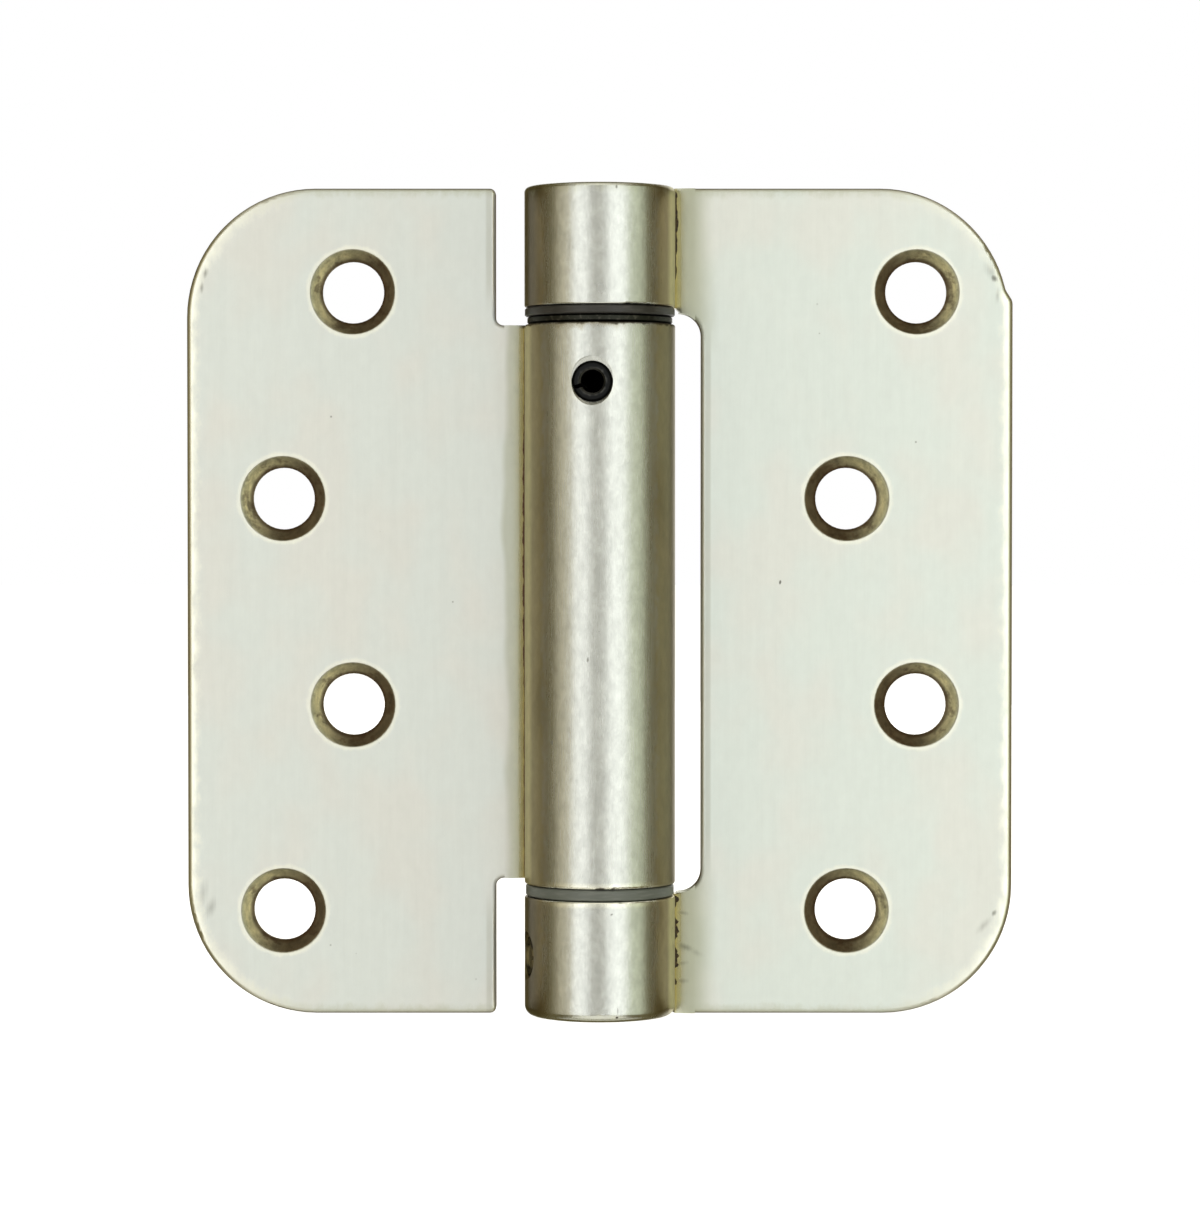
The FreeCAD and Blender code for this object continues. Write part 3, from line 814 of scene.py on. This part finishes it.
@dataclass(frozen=True)
class SpringPinSteel(Finish):
    """Slotted pin rolled from spring steel strip, oiled black oxide.

    The eye sees a near-black ring, softly grey on its rubbed inner rim, round a bore whose
    light and shade are painted into its colour.
    """

    name: str = "black_oxide_spring_pin_rolled"
    pin: PinPlace = PinPlace(0.0, 0.0)
    skin: str = "#242526"
    rubbed: str = "#71716D"
    # painted tone of the bore: black painted shade unless another is given
    painted_hole_tone: str = "#040404"
    side_tone: str = "#8C8262"
    side_lightening: float = 0.0  # share by which the ring is painted lighter beside the bore, leaving painted shade above and below
    side_band: tuple[float, float] = (1.4, 0.8)  # height over which it is lighter
    rim_fray: float = 0.8
    rim: Fade = Fade(2.35, 1.7, 0.7)  # from the pin's own axis
    in_bore: Fade = Fade(1.47, 1.39)
    bore_dullness: float = 0.4
    grain: Grain = Grain(0.5, 0.5, 4.0)
    gloss: Fade = Fade(0.0, 1.0, 0.5, 0.3)
    pores: Relief = Relief(0.4, 0.02)

    def shade(self, tree: Tree) -> Socket:
        """Build the oxide skin, its rubbed rim, the bore's painted tone and the painted lighter sides.

        Args:
            tree: node tree to build in.

        Returns:
            The shader output.
        """
        place = millimetres(tree)
        aside = self.pin.aside(tree, place)
        patch = self.grain.noise(tree, place)
        frayed = {0: patch, 1: self.rim_fray, 2: aside}
        frayed = add(tree, "Math", frayed, operation="MULTIPLY_ADD")
        level = add(tree, "SeparateXYZ", {0: place}, out="Z")
        level = add(tree, "Math", {0: level, 1: self.pin.height}, operation="SUBTRACT")
        level = add(tree, "Math", {0: level}, operation="ABSOLUTE")
        worn, in_bore, side_tone = (
            add(tree, "MapRange", fade.over(source), **SMOOTH)
            for fade, source in (
                (self.rim, frayed),
                (self.in_bore, aside),
                (Fade(*self.side_band, self.side_lightening), level),
            )
        )
        rough = add(tree, "MapRange", self.gloss.over(patch))
        rough = {0: in_bore, 1: self.bore_dullness, 2: rough}
        rough = add(tree, "Math", rough, operation="MULTIPLY_ADD")
        layers = ((worn, self.rubbed), (in_bore, self.painted_hole_tone), (side_tone, self.side_tone))
        return self.coat(tree, self.skin, layers, rough, self.pores.over(patch), Metallic=1.0)


@dataclass(frozen=True)
class MouldedRing(Finish):
    """Injection moulded plastic of a thrust ring, satin from the mould.

    The eye sees an even, soft-edged gloss over a faint mould grain, scuffed a little lighter.
    """

    name: str = "moulded_plastic"
    body: str = "#2A2825"
    scuffed: str = "#47433E"
    ior: float = 1.53
    gloss: Fade = Fade(0.0, 1.0, 0.52, 0.32)
    scuff: Grain = Grain(2.0, 0.25, 4.0)
    grain: Grain = Grain(0.35, 0.35, 2.0)
    worn: Fade = Fade(0.45, 0.75, 0.7)
    mould: Relief = Relief(0.4, 0.015)

    def shade(self, tree: Tree) -> Socket:
        """Build the mould grain and scuffs that run round the ring.

        Args:
            tree: node tree to build in.

        Returns:
            The shader output.
        """
        place = millimetres(tree)
        scuff = self.scuff.noise(tree, place)
        relief = self.mould.over(self.grain.noise(tree, place))
        worn = add(tree, "MapRange", self.worn.over(scuff), **SMOOTH)
        rough = add(tree, "MapRange", self.gloss.over(scuff))
        layers = ((worn, self.scuffed),)
        return self.coat(tree, self.body, layers, rough, relief, Metallic=0.0, IOR=self.ior)


@dataclass(frozen=True)
class SpringWire(Finish):
    """Oil-tempered square spring wire, drawn through a die.

    The eye sees blue-black steel with draw lines along the wire and a greasy gloss.
    """

    name: str = "oil_tempered_spring_wire"
    steel: str = "#57544F"
    scale: str = "#2F3036"
    draw_lines: Point = (0.15, 40.0, 1.0)  # spots to a millimetre along the wire, and round it
    octaves: float = 3.0
    bright: Fade = Fade(0.35, 0.65)
    gloss: Fade = Fade(0.0, 1.0, 0.46, 0.28)
    lines: Relief = Relief(0.4, 0.01)

    def shade(self, tree: Tree) -> Socket:
        """Build draw lines along the wire from its own UV map.

        Args:
            tree: node tree to build in.

        Returns:
            The shader output.
        """
        along = add(tree, "UVMap", uv_map=WIRE_MAP)
        along = add(tree, "VectorMath", {0: along, 1: self.draw_lines}, operation="MULTIPLY")
        drawn = add(tree, "TexNoise", {0: along, "Scale": 1.0, "Detail": self.octaves})
        bright = add(tree, "MapRange", self.bright.over(drawn), **SMOOTH)
        rough = add(tree, "MapRange", self.gloss.over(drawn))
        layers = ((bright, self.steel),)
        return self.coat(tree, self.scale, layers, rough, self.lines.over(drawn), Metallic=1.0)


@dataclass(frozen=True)
class SeamSoilAndShade(Finish):
    """Dried plating salts and oil that collect in the seam of a roll.

    The eye sees a crumbly, matt brown-black line, which is also painted shade of the seam's corner.
    """

    name: str = "seam_soil_and_shade"
    soil: str = "#33271A"
    dust: str = "#7A653A"
    crumb: Grain = Grain(0.25, 0.25, 3.0)
    dusty: Fade = Fade(0.5, 0.75, 0.8)
    gloss: Fade = Fade(0.0, 1.0, 0.95, 0.6)
    crust: Relief = Relief(0.8, 0.05)

    def shade(self, tree: Tree) -> Socket:
        """Build crumbs of two browns.

        Args:
            tree: node tree to build in.

        Returns:
            The shader output.
        """
        crumbs = self.crumb.noise(tree, millimetres(tree))
        dusty = add(tree, "MapRange", self.dusty.over(crumbs), **SMOOTH)
        rough = add(tree, "MapRange", self.gloss.over(crumbs))
        return self.coat(tree, self.soil, ((dusty, self.dust),), rough, self.crust.over(crumbs))


@dataclass(frozen=True)
class FloorPaint(Finish):
    """Matt white paint, rolled on, that glows enough to melt into the backdrop.

    The eye sees an even white without a horizon.
    """

    name: str = "matt_paint_rolled"
    paint: str = "#F4F4F1"
    glow: str = "#FFFFFF"

    def shade(self, tree: Tree) -> Socket:
        """Add the glow to the paint.

        Args:
            tree: node tree to build in.

        Returns:
            The shader output.
        """
        paint = add(tree, "BsdfDiffuse", {"Color": linear(self.paint)})
        glow = add(tree, "Emission", {"Color": linear(self.glow), "Strength": 1.0})
        return add(tree, "AddShader", {0: paint, 1: glow})


def put_mesh(
    name: str, points: np.ndarray, faces: Sequence[Sequence[int]], uv: Optional[np.ndarray] = None
) -> bpy.types.Object:
    """Make a smooth-shaded mesh object at the origin.

    Args:
        name: name of the piece.
        points: rows of x, y, z in millimetres.
        faces: corner numbers of each face, turning left seen from outside.
        uv: place of each point along and round a wire, for a pattern that follows it.

    Returns:
        The new object, linked to the scene.
    """
    mesh = bpy.data.meshes.new(name)
    mesh.from_pydata((points * MM).tolist(), [], [list(face) for face in faces])
    mesh.polygons.foreach_set("use_smooth", np.ones(len(mesh.polygons), bool))
    if uv is not None:
        corners = np.zeros(len(mesh.loops), int)
        mesh.loops.foreach_get("vertex_index", corners)
        layer = mesh.uv_layers.new(name=WIRE_MAP)
        layer.uv.foreach_set("vector", uv[corners].astype(np.float32).ravel())
    mesh.update()
    made = bpy.data.objects.new(name, mesh)
    bpy.context.scene.collection.objects.link(made)
    return made


def carried_profile(sections: np.ndarray) -> tuple[np.ndarray, list[list[int]]]:
    """Close a profile that was carried along a path into a solid.

    The grid is (steps, corners, 3): row i is the closed profile at step i of the path. Quads
    join neighbouring rows, and each end is closed by triangles to the middle of its row.

    Args:
        sections: the profile at each step.

    Returns:
        The points and the faces.
    """
    steps, corners, _ = sections.shape
    row, col = np.meshgrid(np.arange(steps - 1), np.arange(corners), indexing="ij")
    after = (col + 1) % corners
    here, beyond = row * corners, (row + 1) * corners
    quads = np.stack([here + col, here + after, beyond + after, beyond + col], axis=-1).reshape(-1, 4)
    points = np.vstack([sections.reshape(-1, 3), sections[0].mean(0), sections[-1].mean(0)])
    first, last = steps * corners, steps * corners + 1
    turn = np.arange(corners)
    following = (turn + 1) % corners
    start_cap = np.stack([following, turn, np.full(corners, first)], axis=-1)
    end_row = (steps - 1) * corners
    end_cap = np.stack([end_row + turn, end_row + following, np.full(corners, last)], axis=-1)
    return points, quads.tolist() + start_cap.tolist() + end_cap.tolist()


def rounded_square(side: float, radius: float, arc_steps: int) -> np.ndarray:
    """Square with round corners: a quarter circle swept at each corner's own centre.

    Args:
        side: width across the flats.
        radius: radius of the corners.
        arc_steps: points on each corner.

    Returns:
        Rows of two coordinates, turning left.
    """
    quarter = np.linspace(0, math.pi / 2, arc_steps)
    angles = (np.arange(4)[:, None] * math.pi / 2 + quarter).ravel()
    middles = np.repeat(np.arange(4) * math.pi / 2 + math.pi / 4, arc_steps)
    reach = (side / 2 - radius) * math.sqrt(2)
    return np.stack(
        [
            reach * np.cos(middles) + radius * np.cos(angles),
            reach * np.sin(middles) + radius * np.sin(angles),
        ],
        axis=-1,
    )


@dataclass
class SquareWireSpring:
    """Torsion spring of square wire, with a straight tang across each end."""

    wire: float = 2.4
    edge_radius: float = 0.3
    coil_radius: float = 5.0
    turns: int = 16
    low: float = -24.3
    high: float = 20.2
    tang_reach: float = -3.55
    tang_stop: float = 0.4  # how far before the arc the straight tang ends
    bend: float = 1.6
    steps_per_turn: int = 40
    bend_steps: int = 10
    edge_steps: int = 4
    finish: Finish = field(default_factory=SpringWire)

    def centre_line(self) -> np.ndarray:
        """Centre line of the wire, from the lower tang to the upper one.

        A tang runs along X through the axis, an arc that touches both the tang and the coil
        circle turns it into the coil, and the coil climbs evenly: (R cos a, R sin a, pitch a).

        Returns:
            Rows of x, y, z in millimetres.
        """
        arc_x = math.sqrt((self.coil_radius - self.bend) ** 2 - self.bend**2)
        join = math.atan2(self.bend, arc_x)
        ends = np.array([self.tang_reach, arc_x - self.tang_stop])
        tang = np.stack([ends, np.zeros(2)], axis=-1)
        swing = np.linspace(-math.pi / 2, join, self.bend_steps)
        bend = np.stack(
            [arc_x + self.bend * np.cos(swing), self.bend + self.bend * np.sin(swing)], axis=-1
        )
        lead = np.vstack([tang, bend])
        sweep = np.linspace(
            join, 2 * math.pi * self.turns - join, self.turns * self.steps_per_turn
        )[1:-1]
        coil = self.coil_radius * np.stack([np.cos(sweep), np.sin(sweep)], axis=-1)
        rise = self.low + (self.high - self.low) * (sweep - join) / (sweep[-1] - join)
        mirrored = lead[::-1] * (1, -1)
        return np.vstack(
            [
                np.column_stack([lead, np.full(len(lead), self.low)]),
                np.column_stack([coil, rise]),
                np.column_stack([mirrored, np.full(len(lead), self.high)]),
            ]
        )

    def build(self) -> bpy.types.Object:
        """Carry the square profile along the centre line, upright in every section.

        Returns:
            The spring, in place of the CAD spring.
        """
        line = self.centre_line()
        ahead = np.gradient(line, axis=0)
        ahead /= np.linalg.norm(ahead, axis=1)[:, None]
        across = np.cross(ahead, (0, 0, 1))
        across /= np.linalg.norm(across, axis=1)[:, None]
        up = np.cross(across, ahead)
        profile = rounded_square(self.wire, self.edge_radius, self.edge_steps)
        sections = (
            line[:, None, :]
            + profile[None, :, :1] * across[:, None, :]
            + profile[None, :, 1:] * up[:, None, :]
        )
        points, faces = carried_profile(sections)
        run = np.concatenate([[0], np.linalg.norm(np.diff(line, axis=0), axis=1).cumsum()])
        round_it = np.linspace(0, 1, len(profile), endpoint=False)
        uv = np.stack(np.broadcast_arrays(run[:, None], round_it[None, :]), axis=-1).reshape(-1, 2)
        uv = np.vstack([uv, uv[0], uv[-1]])
        return put_mesh("square_wire_spring", points, faces, uv)

    def dress(self, made: bpy.types.Object) -> None:
        """Give the spring its finish, hide the CAD spring and fix the new one where it stands.

        Args:
            made: the spring.
        """
        made.data.materials.append(self.finish.material())
        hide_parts("torsion_spring")
        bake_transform(made)


@dataclass
class SeamLine:
    """Dried soil in the corner between a roll and its leaf, as separate crusts along the seam; their
    dark colour is also painted shade of that corner.
    """

    name: str
    side: Side
    body: Body
    crusts: tuple[Point, ...]  # top, bottom and width of each
    steady: float = 0.9  # share of the width that is there all along
    fray: float = 0.35  # share that comes and goes
    fray_pitches: tuple[float, ...] = (3.7, 1.9, 1.1, 0.6)
    width_limits: tuple[float, float] = (0.1, 1.4)  # shares of the width
    blunt_end: float = 0.004  # share of the length that is left off each pointed end
    swell: float = 0.25  # power that makes the ends blunt
    height: float = 0.7  # up the side of the roll, as a share of the width
    inset: float = 0.01  # how far it lies in the side of the roll
    seat: float = 0.06  # how far the back lies in the gap of the seam
    steps_per_mm: float = 5.0
    fewest_steps: int = 8
    profile_steps: int = 7
    seed: int = 7
    finish: Finish = field(default_factory=SeamSoilAndShade)

    def leaf_face(self, x: np.ndarray) -> np.ndarray:
        """Front of the leaf's bend at x: the lower half of a circle round the bend's centre."""
        return BEND_CENTRE[1] - np.sqrt(BEND_RADIUS**2 - (BEND_CENTRE[0] - x) ** 2)

    def crust(self, top: float, bottom: float, width: float, draw: np.random.Generator) -> np.ndarray:
        """One crust as a profile carried down the seam.

        The profile is a hollow fillet from the side of the roll to the leaf: at share t its x
        is the corner plus w t squared and its y is the leaf less h times (1 - t) squared. The
        width w follows the fourth root of half a sine from end to end, frayed by a sum of
        seeded sine waves.

        Args:
            top: height of the upper end.
            bottom: height of the lower end.
            width: greatest width on the leaf.
            draw: source of the seeded phases.

        Returns:
            The profile at each step, as (steps, corners, 3).
        """
        steps = max(self.fewest_steps, int((top - bottom) * self.steps_per_mm))
        share = np.linspace(0, 1, steps)
        pitches = np.array(self.fray_pitches)
        phases = draw.uniform(0, 2 * math.pi, len(pitches))
        z = top + (bottom - top) * share
        waves = np.sin(2 * math.pi * z[:, None] / pitches + phases) / np.arange(1, len(pitches) + 1)
        swell = np.sin(math.pi * np.clip(share, self.blunt_end, 1 - self.blunt_end)) ** self.swell
        wide = width * swell * np.clip(self.steady + self.fray * waves.sum(1), *self.width_limits)
        t = np.linspace(0, 1, self.profile_steps)
        corner = BARREL_RADIUS - self.inset
        x = corner + wide[:, None] * t**2
        y = self.leaf_face(x) - self.height * wide[:, None] * (1 - t) ** 2
        back_x = np.stack([corner + wide, np.full(steps, corner - self.seat)], axis=-1)
        back_y = self.leaf_face(back_x) + self.seat
        x, y = np.hstack([x, back_x]), np.hstack([y, back_y])
        return np.stack(np.broadcast_arrays(self.side.value * x, y, z[:, None]), axis=-1)

    def build(self) -> bpy.types.Object:
        """Join the crusts into one mesh.

        Returns:
            The seam's soil.
        """
        draw = np.random.default_rng(self.seed)
        points, faces, count = [], [], 0
        for top, bottom, width in self.crusts:
            sections = self.crust(top, bottom, width, draw)
            if self.side is Side.RIGHT:
                sections = sections[:, ::-1]
            some, more = carried_profile(sections)
            points.append(some)
            faces += [[corner + count for corner in face] for face in more]
            count += len(some)
        return put_mesh(self.name, np.vstack(points), faces)

    def dress(self, made: bpy.types.Object) -> None:
        """Give the soil its finish and let it ride with its leaf."""
        made.data.materials.append(self.finish.material())
        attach(made, self.body.value)


@dataclass
class CadNode:
    """A solid that is kept as it is and gets a finish."""

    node: str
    finish: Finish

    def dress(self) -> None:
        """Put the finish on the node's own material slots."""
        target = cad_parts[self.node]
        made = self.finish.material()
        for slot in target.material_slots:
            slot.material = made


@dataclass(frozen=True)
class SoftPanel:
    """A soft light panel that looks at the hinge, placed round it by its angles."""

    name: str
    azimuth: float  # degrees from the camera's side, to the right
    elevation: float
    width: float  # degrees seen from the hinge
    height: float
    radiance: float
    colour: str = "#FFFFFF"
    distance: float = 0.8

    def build(self) -> bpy.types.Object:
        """Make the light.

        A panel of area A that gives radiance L evenly has the power pi times A times L.

        Returns:
            The light object.
        """
        lamp = bpy.data.lights.new(self.name, "AREA")
        lamp.shape = "RECTANGLE"
        lamp.size = 2 * self.distance * math.tan(math.radians(self.width / 2))
        lamp.size_y = 2 * self.distance * math.tan(math.radians(self.height / 2))
        lamp.color = linear(self.colour)[:3]
        lamp.energy = math.pi * lamp.size * lamp.size_y * self.radiance
        turn, lift = math.radians(self.azimuth), math.radians(self.elevation)
        made = bpy.data.objects.new(self.name, lamp)
        made.location = (
            self.distance * math.sin(turn) * math.cos(lift),
            -self.distance * math.cos(turn) * math.cos(lift),
            self.distance * math.sin(lift),
        )
        made.rotation_euler = (math.pi / 2 - lift, 0, turn)
        made.visible_camera = False
        bpy.context.scene.collection.objects.link(made)
        return made


@dataclass
class Studio:
    """Camera, soft panels, surroundings and pale floor."""

    camera_distance: float = 480.0
    camera_height: float = 10.5
    aim: Point = (0.02, 0.0, -0.2)
    lens: float = 116.5
    clip: tuple[float, float] = (0.01, 100.0)  # metres
    surroundings: str = "#665C38"
    backdrop: str = "#FFFFFF"
    floor_reach: float = 3000.0
    floor_gap: float = 0.2
    floor: Finish = field(default_factory=FloorPaint)
    panels: tuple[SoftPanel, ...] = (
        SoftPanel("panel_left", -29.0, 2.0, 27.0, 64.0, 1.34, "#FAFDFE"),
        SoftPanel("panel_right", 27.0, 2.0, 31.0, 64.0, 1.41, "#FAFEFE"),
        SoftPanel("panel_middle", 0.0, 2.0, 26.0, 64.0, 0.45, "#FAFDFF", 0.95),
        SoftPanel("wing_left", -56.0, 2.0, 26.0, 64.0, 0.49, "#F4ECD4"),
        SoftPanel("wing_right", 57.0, 2.0, 27.0, 64.0, 0.67, "#E8F4DC"),
        SoftPanel("panel_above", 0.0, 56.0, 60.0, 40.0, 1.0, "#FBFBF4"),
        SoftPanel("panel_below", 0.0, -54.0, 60.0, 40.0, 1.0, "#FBFBF4"),
        SoftPanel("panel_over", 0.0, 90.0, 60.0, 24.0, 0.5, "#FBFBF4"),
        SoftPanel("panel_under", 0.0, -90.0, 60.0, 24.0, 0.6, "#FBFBF4"),
        SoftPanel("panel_behind", 166.0, 2.0, 56.0, 70.0, 1.1, "#FBFDFD"),
    )

    def build(self) -> None:
        """Set up the whole studio."""
        self.set_colours()
        self.set_camera()
        for panel in self.panels:
            panel.build()
        self.set_world()
        self.set_floor()

    def set_colours(self) -> None:
        """Show colours as they are, without a film curve."""
        bpy.context.scene.view_settings.view_transform = "Standard"
        bpy.context.scene.view_settings.look = "None"

    def set_camera(self) -> None:
        """Put the camera in front of the hinge, a little above its middle."""
        lens = bpy.data.cameras.new("camera")
        lens.lens = self.lens
        lens.clip_start, lens.clip_end = self.clip
        made = bpy.data.objects.new("camera", lens)
        made.location = (self.aim[0] * MM, -self.camera_distance * MM, self.camera_height * MM)
        drop = math.atan2(self.camera_height - self.aim[2], self.camera_distance)
        made.rotation_euler = (math.pi / 2 - drop, 0, 0)
        bpy.context.scene.collection.objects.link(made)
        bpy.context.scene.camera = made

    def set_world(self) -> None:
        """White behind the hinge, a dim olive room for what the metal reflects."""
        world = bpy.data.worlds.new("studio")
        world.use_nodes = True
        tree = world.node_tree
        tree.nodes.clear()
        seen = add(tree, "LightPath", out="Is Camera Ray")
        room = add(tree, "Background", {"Color": linear(self.surroundings)})
        white = add(tree, "Background", {"Color": linear(self.backdrop)})
        both = add(tree, "MixShader", {0: seen, 1: room, 2: white})
        add(tree, "OutputWorld", {"Surface": both})
        bpy.context.scene.world = world

    def set_floor(self) -> None:
        """Lay a wide, flat floor just under the hinge: a grid of two steps each way."""
        span = np.linspace(-self.floor_reach, self.floor_reach, 3)
        x, y = np.meshgrid(span, span)
        z = np.full_like(x, -HALF_HEIGHT - self.floor_gap)
        points = np.stack([x, y, z], axis=-1).reshape(-1, 3)
        row, col = (grid.ravel() for grid in np.meshgrid(range(2), range(2), indexing="ij"))
        start = row * len(span) + col
        beyond = start + len(span)
        faces = np.stack([start, start + 1, beyond + 1, beyond], axis=-1).tolist()
        floor = put_mesh("floor", points, faces)
        floor.data.materials.append(self.floor.material())
        floor.visible_glossy = False
        floor.visible_diffuse = False
        floor.visible_shadow = False


def hole_places(side: Side) -> tuple[tuple[float, float], ...]:
    """Screw holes of a leaf, top to bottom, staggered between its two rows.

    Args:
        side: the leaf's side.

    Returns:
        The x and z of each hole.
    """
    rows = (NEAR_ROW, FAR_ROW) if side is Side.LEFT else (FAR_ROW, NEAR_ROW)
    return tuple((side.value * rows[i % 2], z) for i, z in enumerate(HOLE_HEIGHTS))


ANCHOR_PIN = PinPlace(6.0, 26.8)
WINDING_PIN = PinPlace(77.0, -43.45)
BARREL_LEAF_MARKS = (
    Mark(-48.45, 40.4, 0.4, 0.9, 0.42, 12.0, 1.1),
    Mark(-48.95, 38.6, 0.35, 0.9, 0.36, 5.0, 1.1),
    Mark(-48.0, -37.8, 0.9, 1.9, 0.3, 25.0, 1.4),
    Mark(-48.9, -36.0, 0.8, 2.4, 0.2, 10.0, 1.4),
    Mark(0.1, -34.6, 0.9, 0.42, 0.9),
    Mark(1.55, -34.5, 0.55, 0.22, 0.8, -24.0),
    Mark(-3.1, -34.7, 0.8, 0.22, 0.7),
    Mark(-1.45, -6.8, 0.16, 0.4, 0.5, 8.0),
    Mark(-5.8, -16.9, 0.16, 0.35, 0.5),
)
FORKED_LEAF_MARKS = (
    Mark(48.5, 39.75, 0.5, 0.7, 0.6, -40.0, 1.0),
    Mark(48.0, 40.6, 0.9, 1.7, 0.26, -30.0, 1.4),
    Mark(48.85, 37.6, 0.4, 1.5, 0.26, 5.0, 1.3),
    Mark(22.2, 2.4, 0.18, 0.35, 0.7, 10.0),
    Mark(48.6, -38.4, 0.4, 0.6, 0.5, 30.0, 1.0),
    Mark(47.4, -39.9, 0.6, 1.9, 0.26, 45.0, 1.4),
    Mark(2.0, 50.2, 0.2, 0.35, 0.5),
    Mark(0.2, 38.0, 0.7, 0.9, 0.22),
    Mark(1.4, -37.6, 0.25, 0.15, 0.5, -30.0),
    Mark(2.1, -50.1, 0.22, 0.2, 0.9),
    Mark(2.15, -49.3, 0.15, 0.6, 0.3),
    Mark(10.3, -38.4, 1.1, 0.4, 0.34, 10.0, 1.2),
    Mark(10.5, -42.6, 1.5, 0.6, 0.45, 20.0, 1.2),
    Mark(11.9, -43.3, 1.3, 0.5, 0.2, 24.0, 1.4),
    Mark(10.3, -44.6, 1.0, 0.35, 0.25, -8.0, 1.3),
    Mark(10.2, -46.8, 1.1, 0.45, 0.34, 0.0, 1.2),
)


def dressed_solids() -> tuple[CadNode, ...]:
    """List the solids that keep their shape, each with its finish.

    Returns:
        The nodes in the order in which they are dressed.
    """
    barrel_plate = SatinNickelPlate(
        "satin_nickel_plate_barrel_leaf",
        Side.LEFT,
        hole_places(Side.LEFT),
        BARREL_LEAF_MARKS,
        ANCHOR_PIN,
        roll_end=-34.6,
        smudge_height=33.2,
        inner_edge=12.8,
        inner_rows=Fade(35.4, 40.0),
        bend=Fade(13.6, 12.7, 0.5),
        bend_corner_shade=Fade(11.4, 9.6, 0.3),
        plate="#E9EDEB",
        plate_warm="#ECEAE6",
    )
    fork_plate = SatinNickelPlate(
        "satin_nickel_plate_forked_leaf",
        Side.RIGHT,
        hole_places(Side.RIGHT),
        FORKED_LEAF_MARKS,
        WINDING_PIN,
        roll_end=-36.1,
        painted_flank_shade="#93825A",
        painted_flank_reflection="#CFC48E",
        painted_far_flank_shade="#6E614A",
        roll_roughness=0.18,
    )
    winding_pin = SpringPinSteel(
        "black_oxide_winding_pin_rolled",
        WINDING_PIN,
        skin="#2E2820",
        rubbed="#3C342A",
        # painted light in the bore and on the ring's sides, which leaves painted shade above and below
        painted_hole_tone="#8C8468",
        side_lightening=0.95,
    )
    acetal = MouldedRing("grey_acetal_moulded", "#666A64", "#7C7E78", 1.48, Fade(0.0, 1.0, 0.5, 0.3))
    return (
        CadNode("barrel_leaf", barrel_plate),
        CadNode("forked_leaf", fork_plate),
        CadNode("anchor_plug", TurnedSteel("zinc_plated_anchor_plug_turned", ANCHOR_PIN)),
        CadNode("winding_plug", TurnedSteel("zinc_plated_winding_plug_turned", WINDING_PIN)),
        CadNode("anchor_pin", SpringPinSteel("black_oxide_anchor_pin_rolled", ANCHOR_PIN)),
        CadNode("winding_pin", winding_pin),
        CadNode("steel_thrust_washer", BlackOxideSteel()),
        CadNode("nylon_thrust_washer", MouldedRing("black_nylon_moulded")),
        CadNode("grey_thrust_washer", acetal),
    )


def new_pieces() -> tuple[SquareWireSpring | SeamLine, ...]:
    """List the pieces that are built here.

    Returns:
        The pieces in the order in which they are built.
    """
    return (
        SquareWireSpring(),
        SeamLine(
            "seam_soil_and_shade_top_knuckle",
            Side.RIGHT,
            Body.FORK,
            ((50.4, 42.6, 0.36), (43.4, 39.6, 0.2)),
            fray=0.22,
        ),
        SeamLine(
            "seam_soil_and_shade_bottom_knuckle",
            Side.RIGHT,
            Body.FORK,
            ((-36.3, -37.6, 0.4), (-37.2, -47.3, 0.46)),
            steady=0.42,
            fray=0.75,
            seed=11,
        ),
        SeamLine(
            "seam_soil_and_shade_barrel",
            Side.LEFT,
            Body.BARREL,
            ((33.4, 22.5, 0.12), (23.5, -11.0, 0.27), (-10.0, -34.2, 0.15)),
            fray=0.2,
            seed=5,
            finish=SeamSoilAndShade("seam_soil_and_shade_red", "#5A3D31", "#7E6444"),
        ),
    )


def main() -> None:
    """Build the studio, dress the solids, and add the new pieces."""
    logging.basicConfig(level=logging.INFO, format="%(name)s: %(message)s")
    Studio().build()
    LOG.info("studio built")
    for solid in dressed_solids():
        solid.dress()
        LOG.info("dressed %s as %s", solid.node, solid.finish.name)
    for piece in new_pieces():
        built = piece.build()
        piece.dress(built)
        LOG.info("built %s with %d faces", built.name, len(built.data.polygons))


if __name__ == "__main__":
    main()
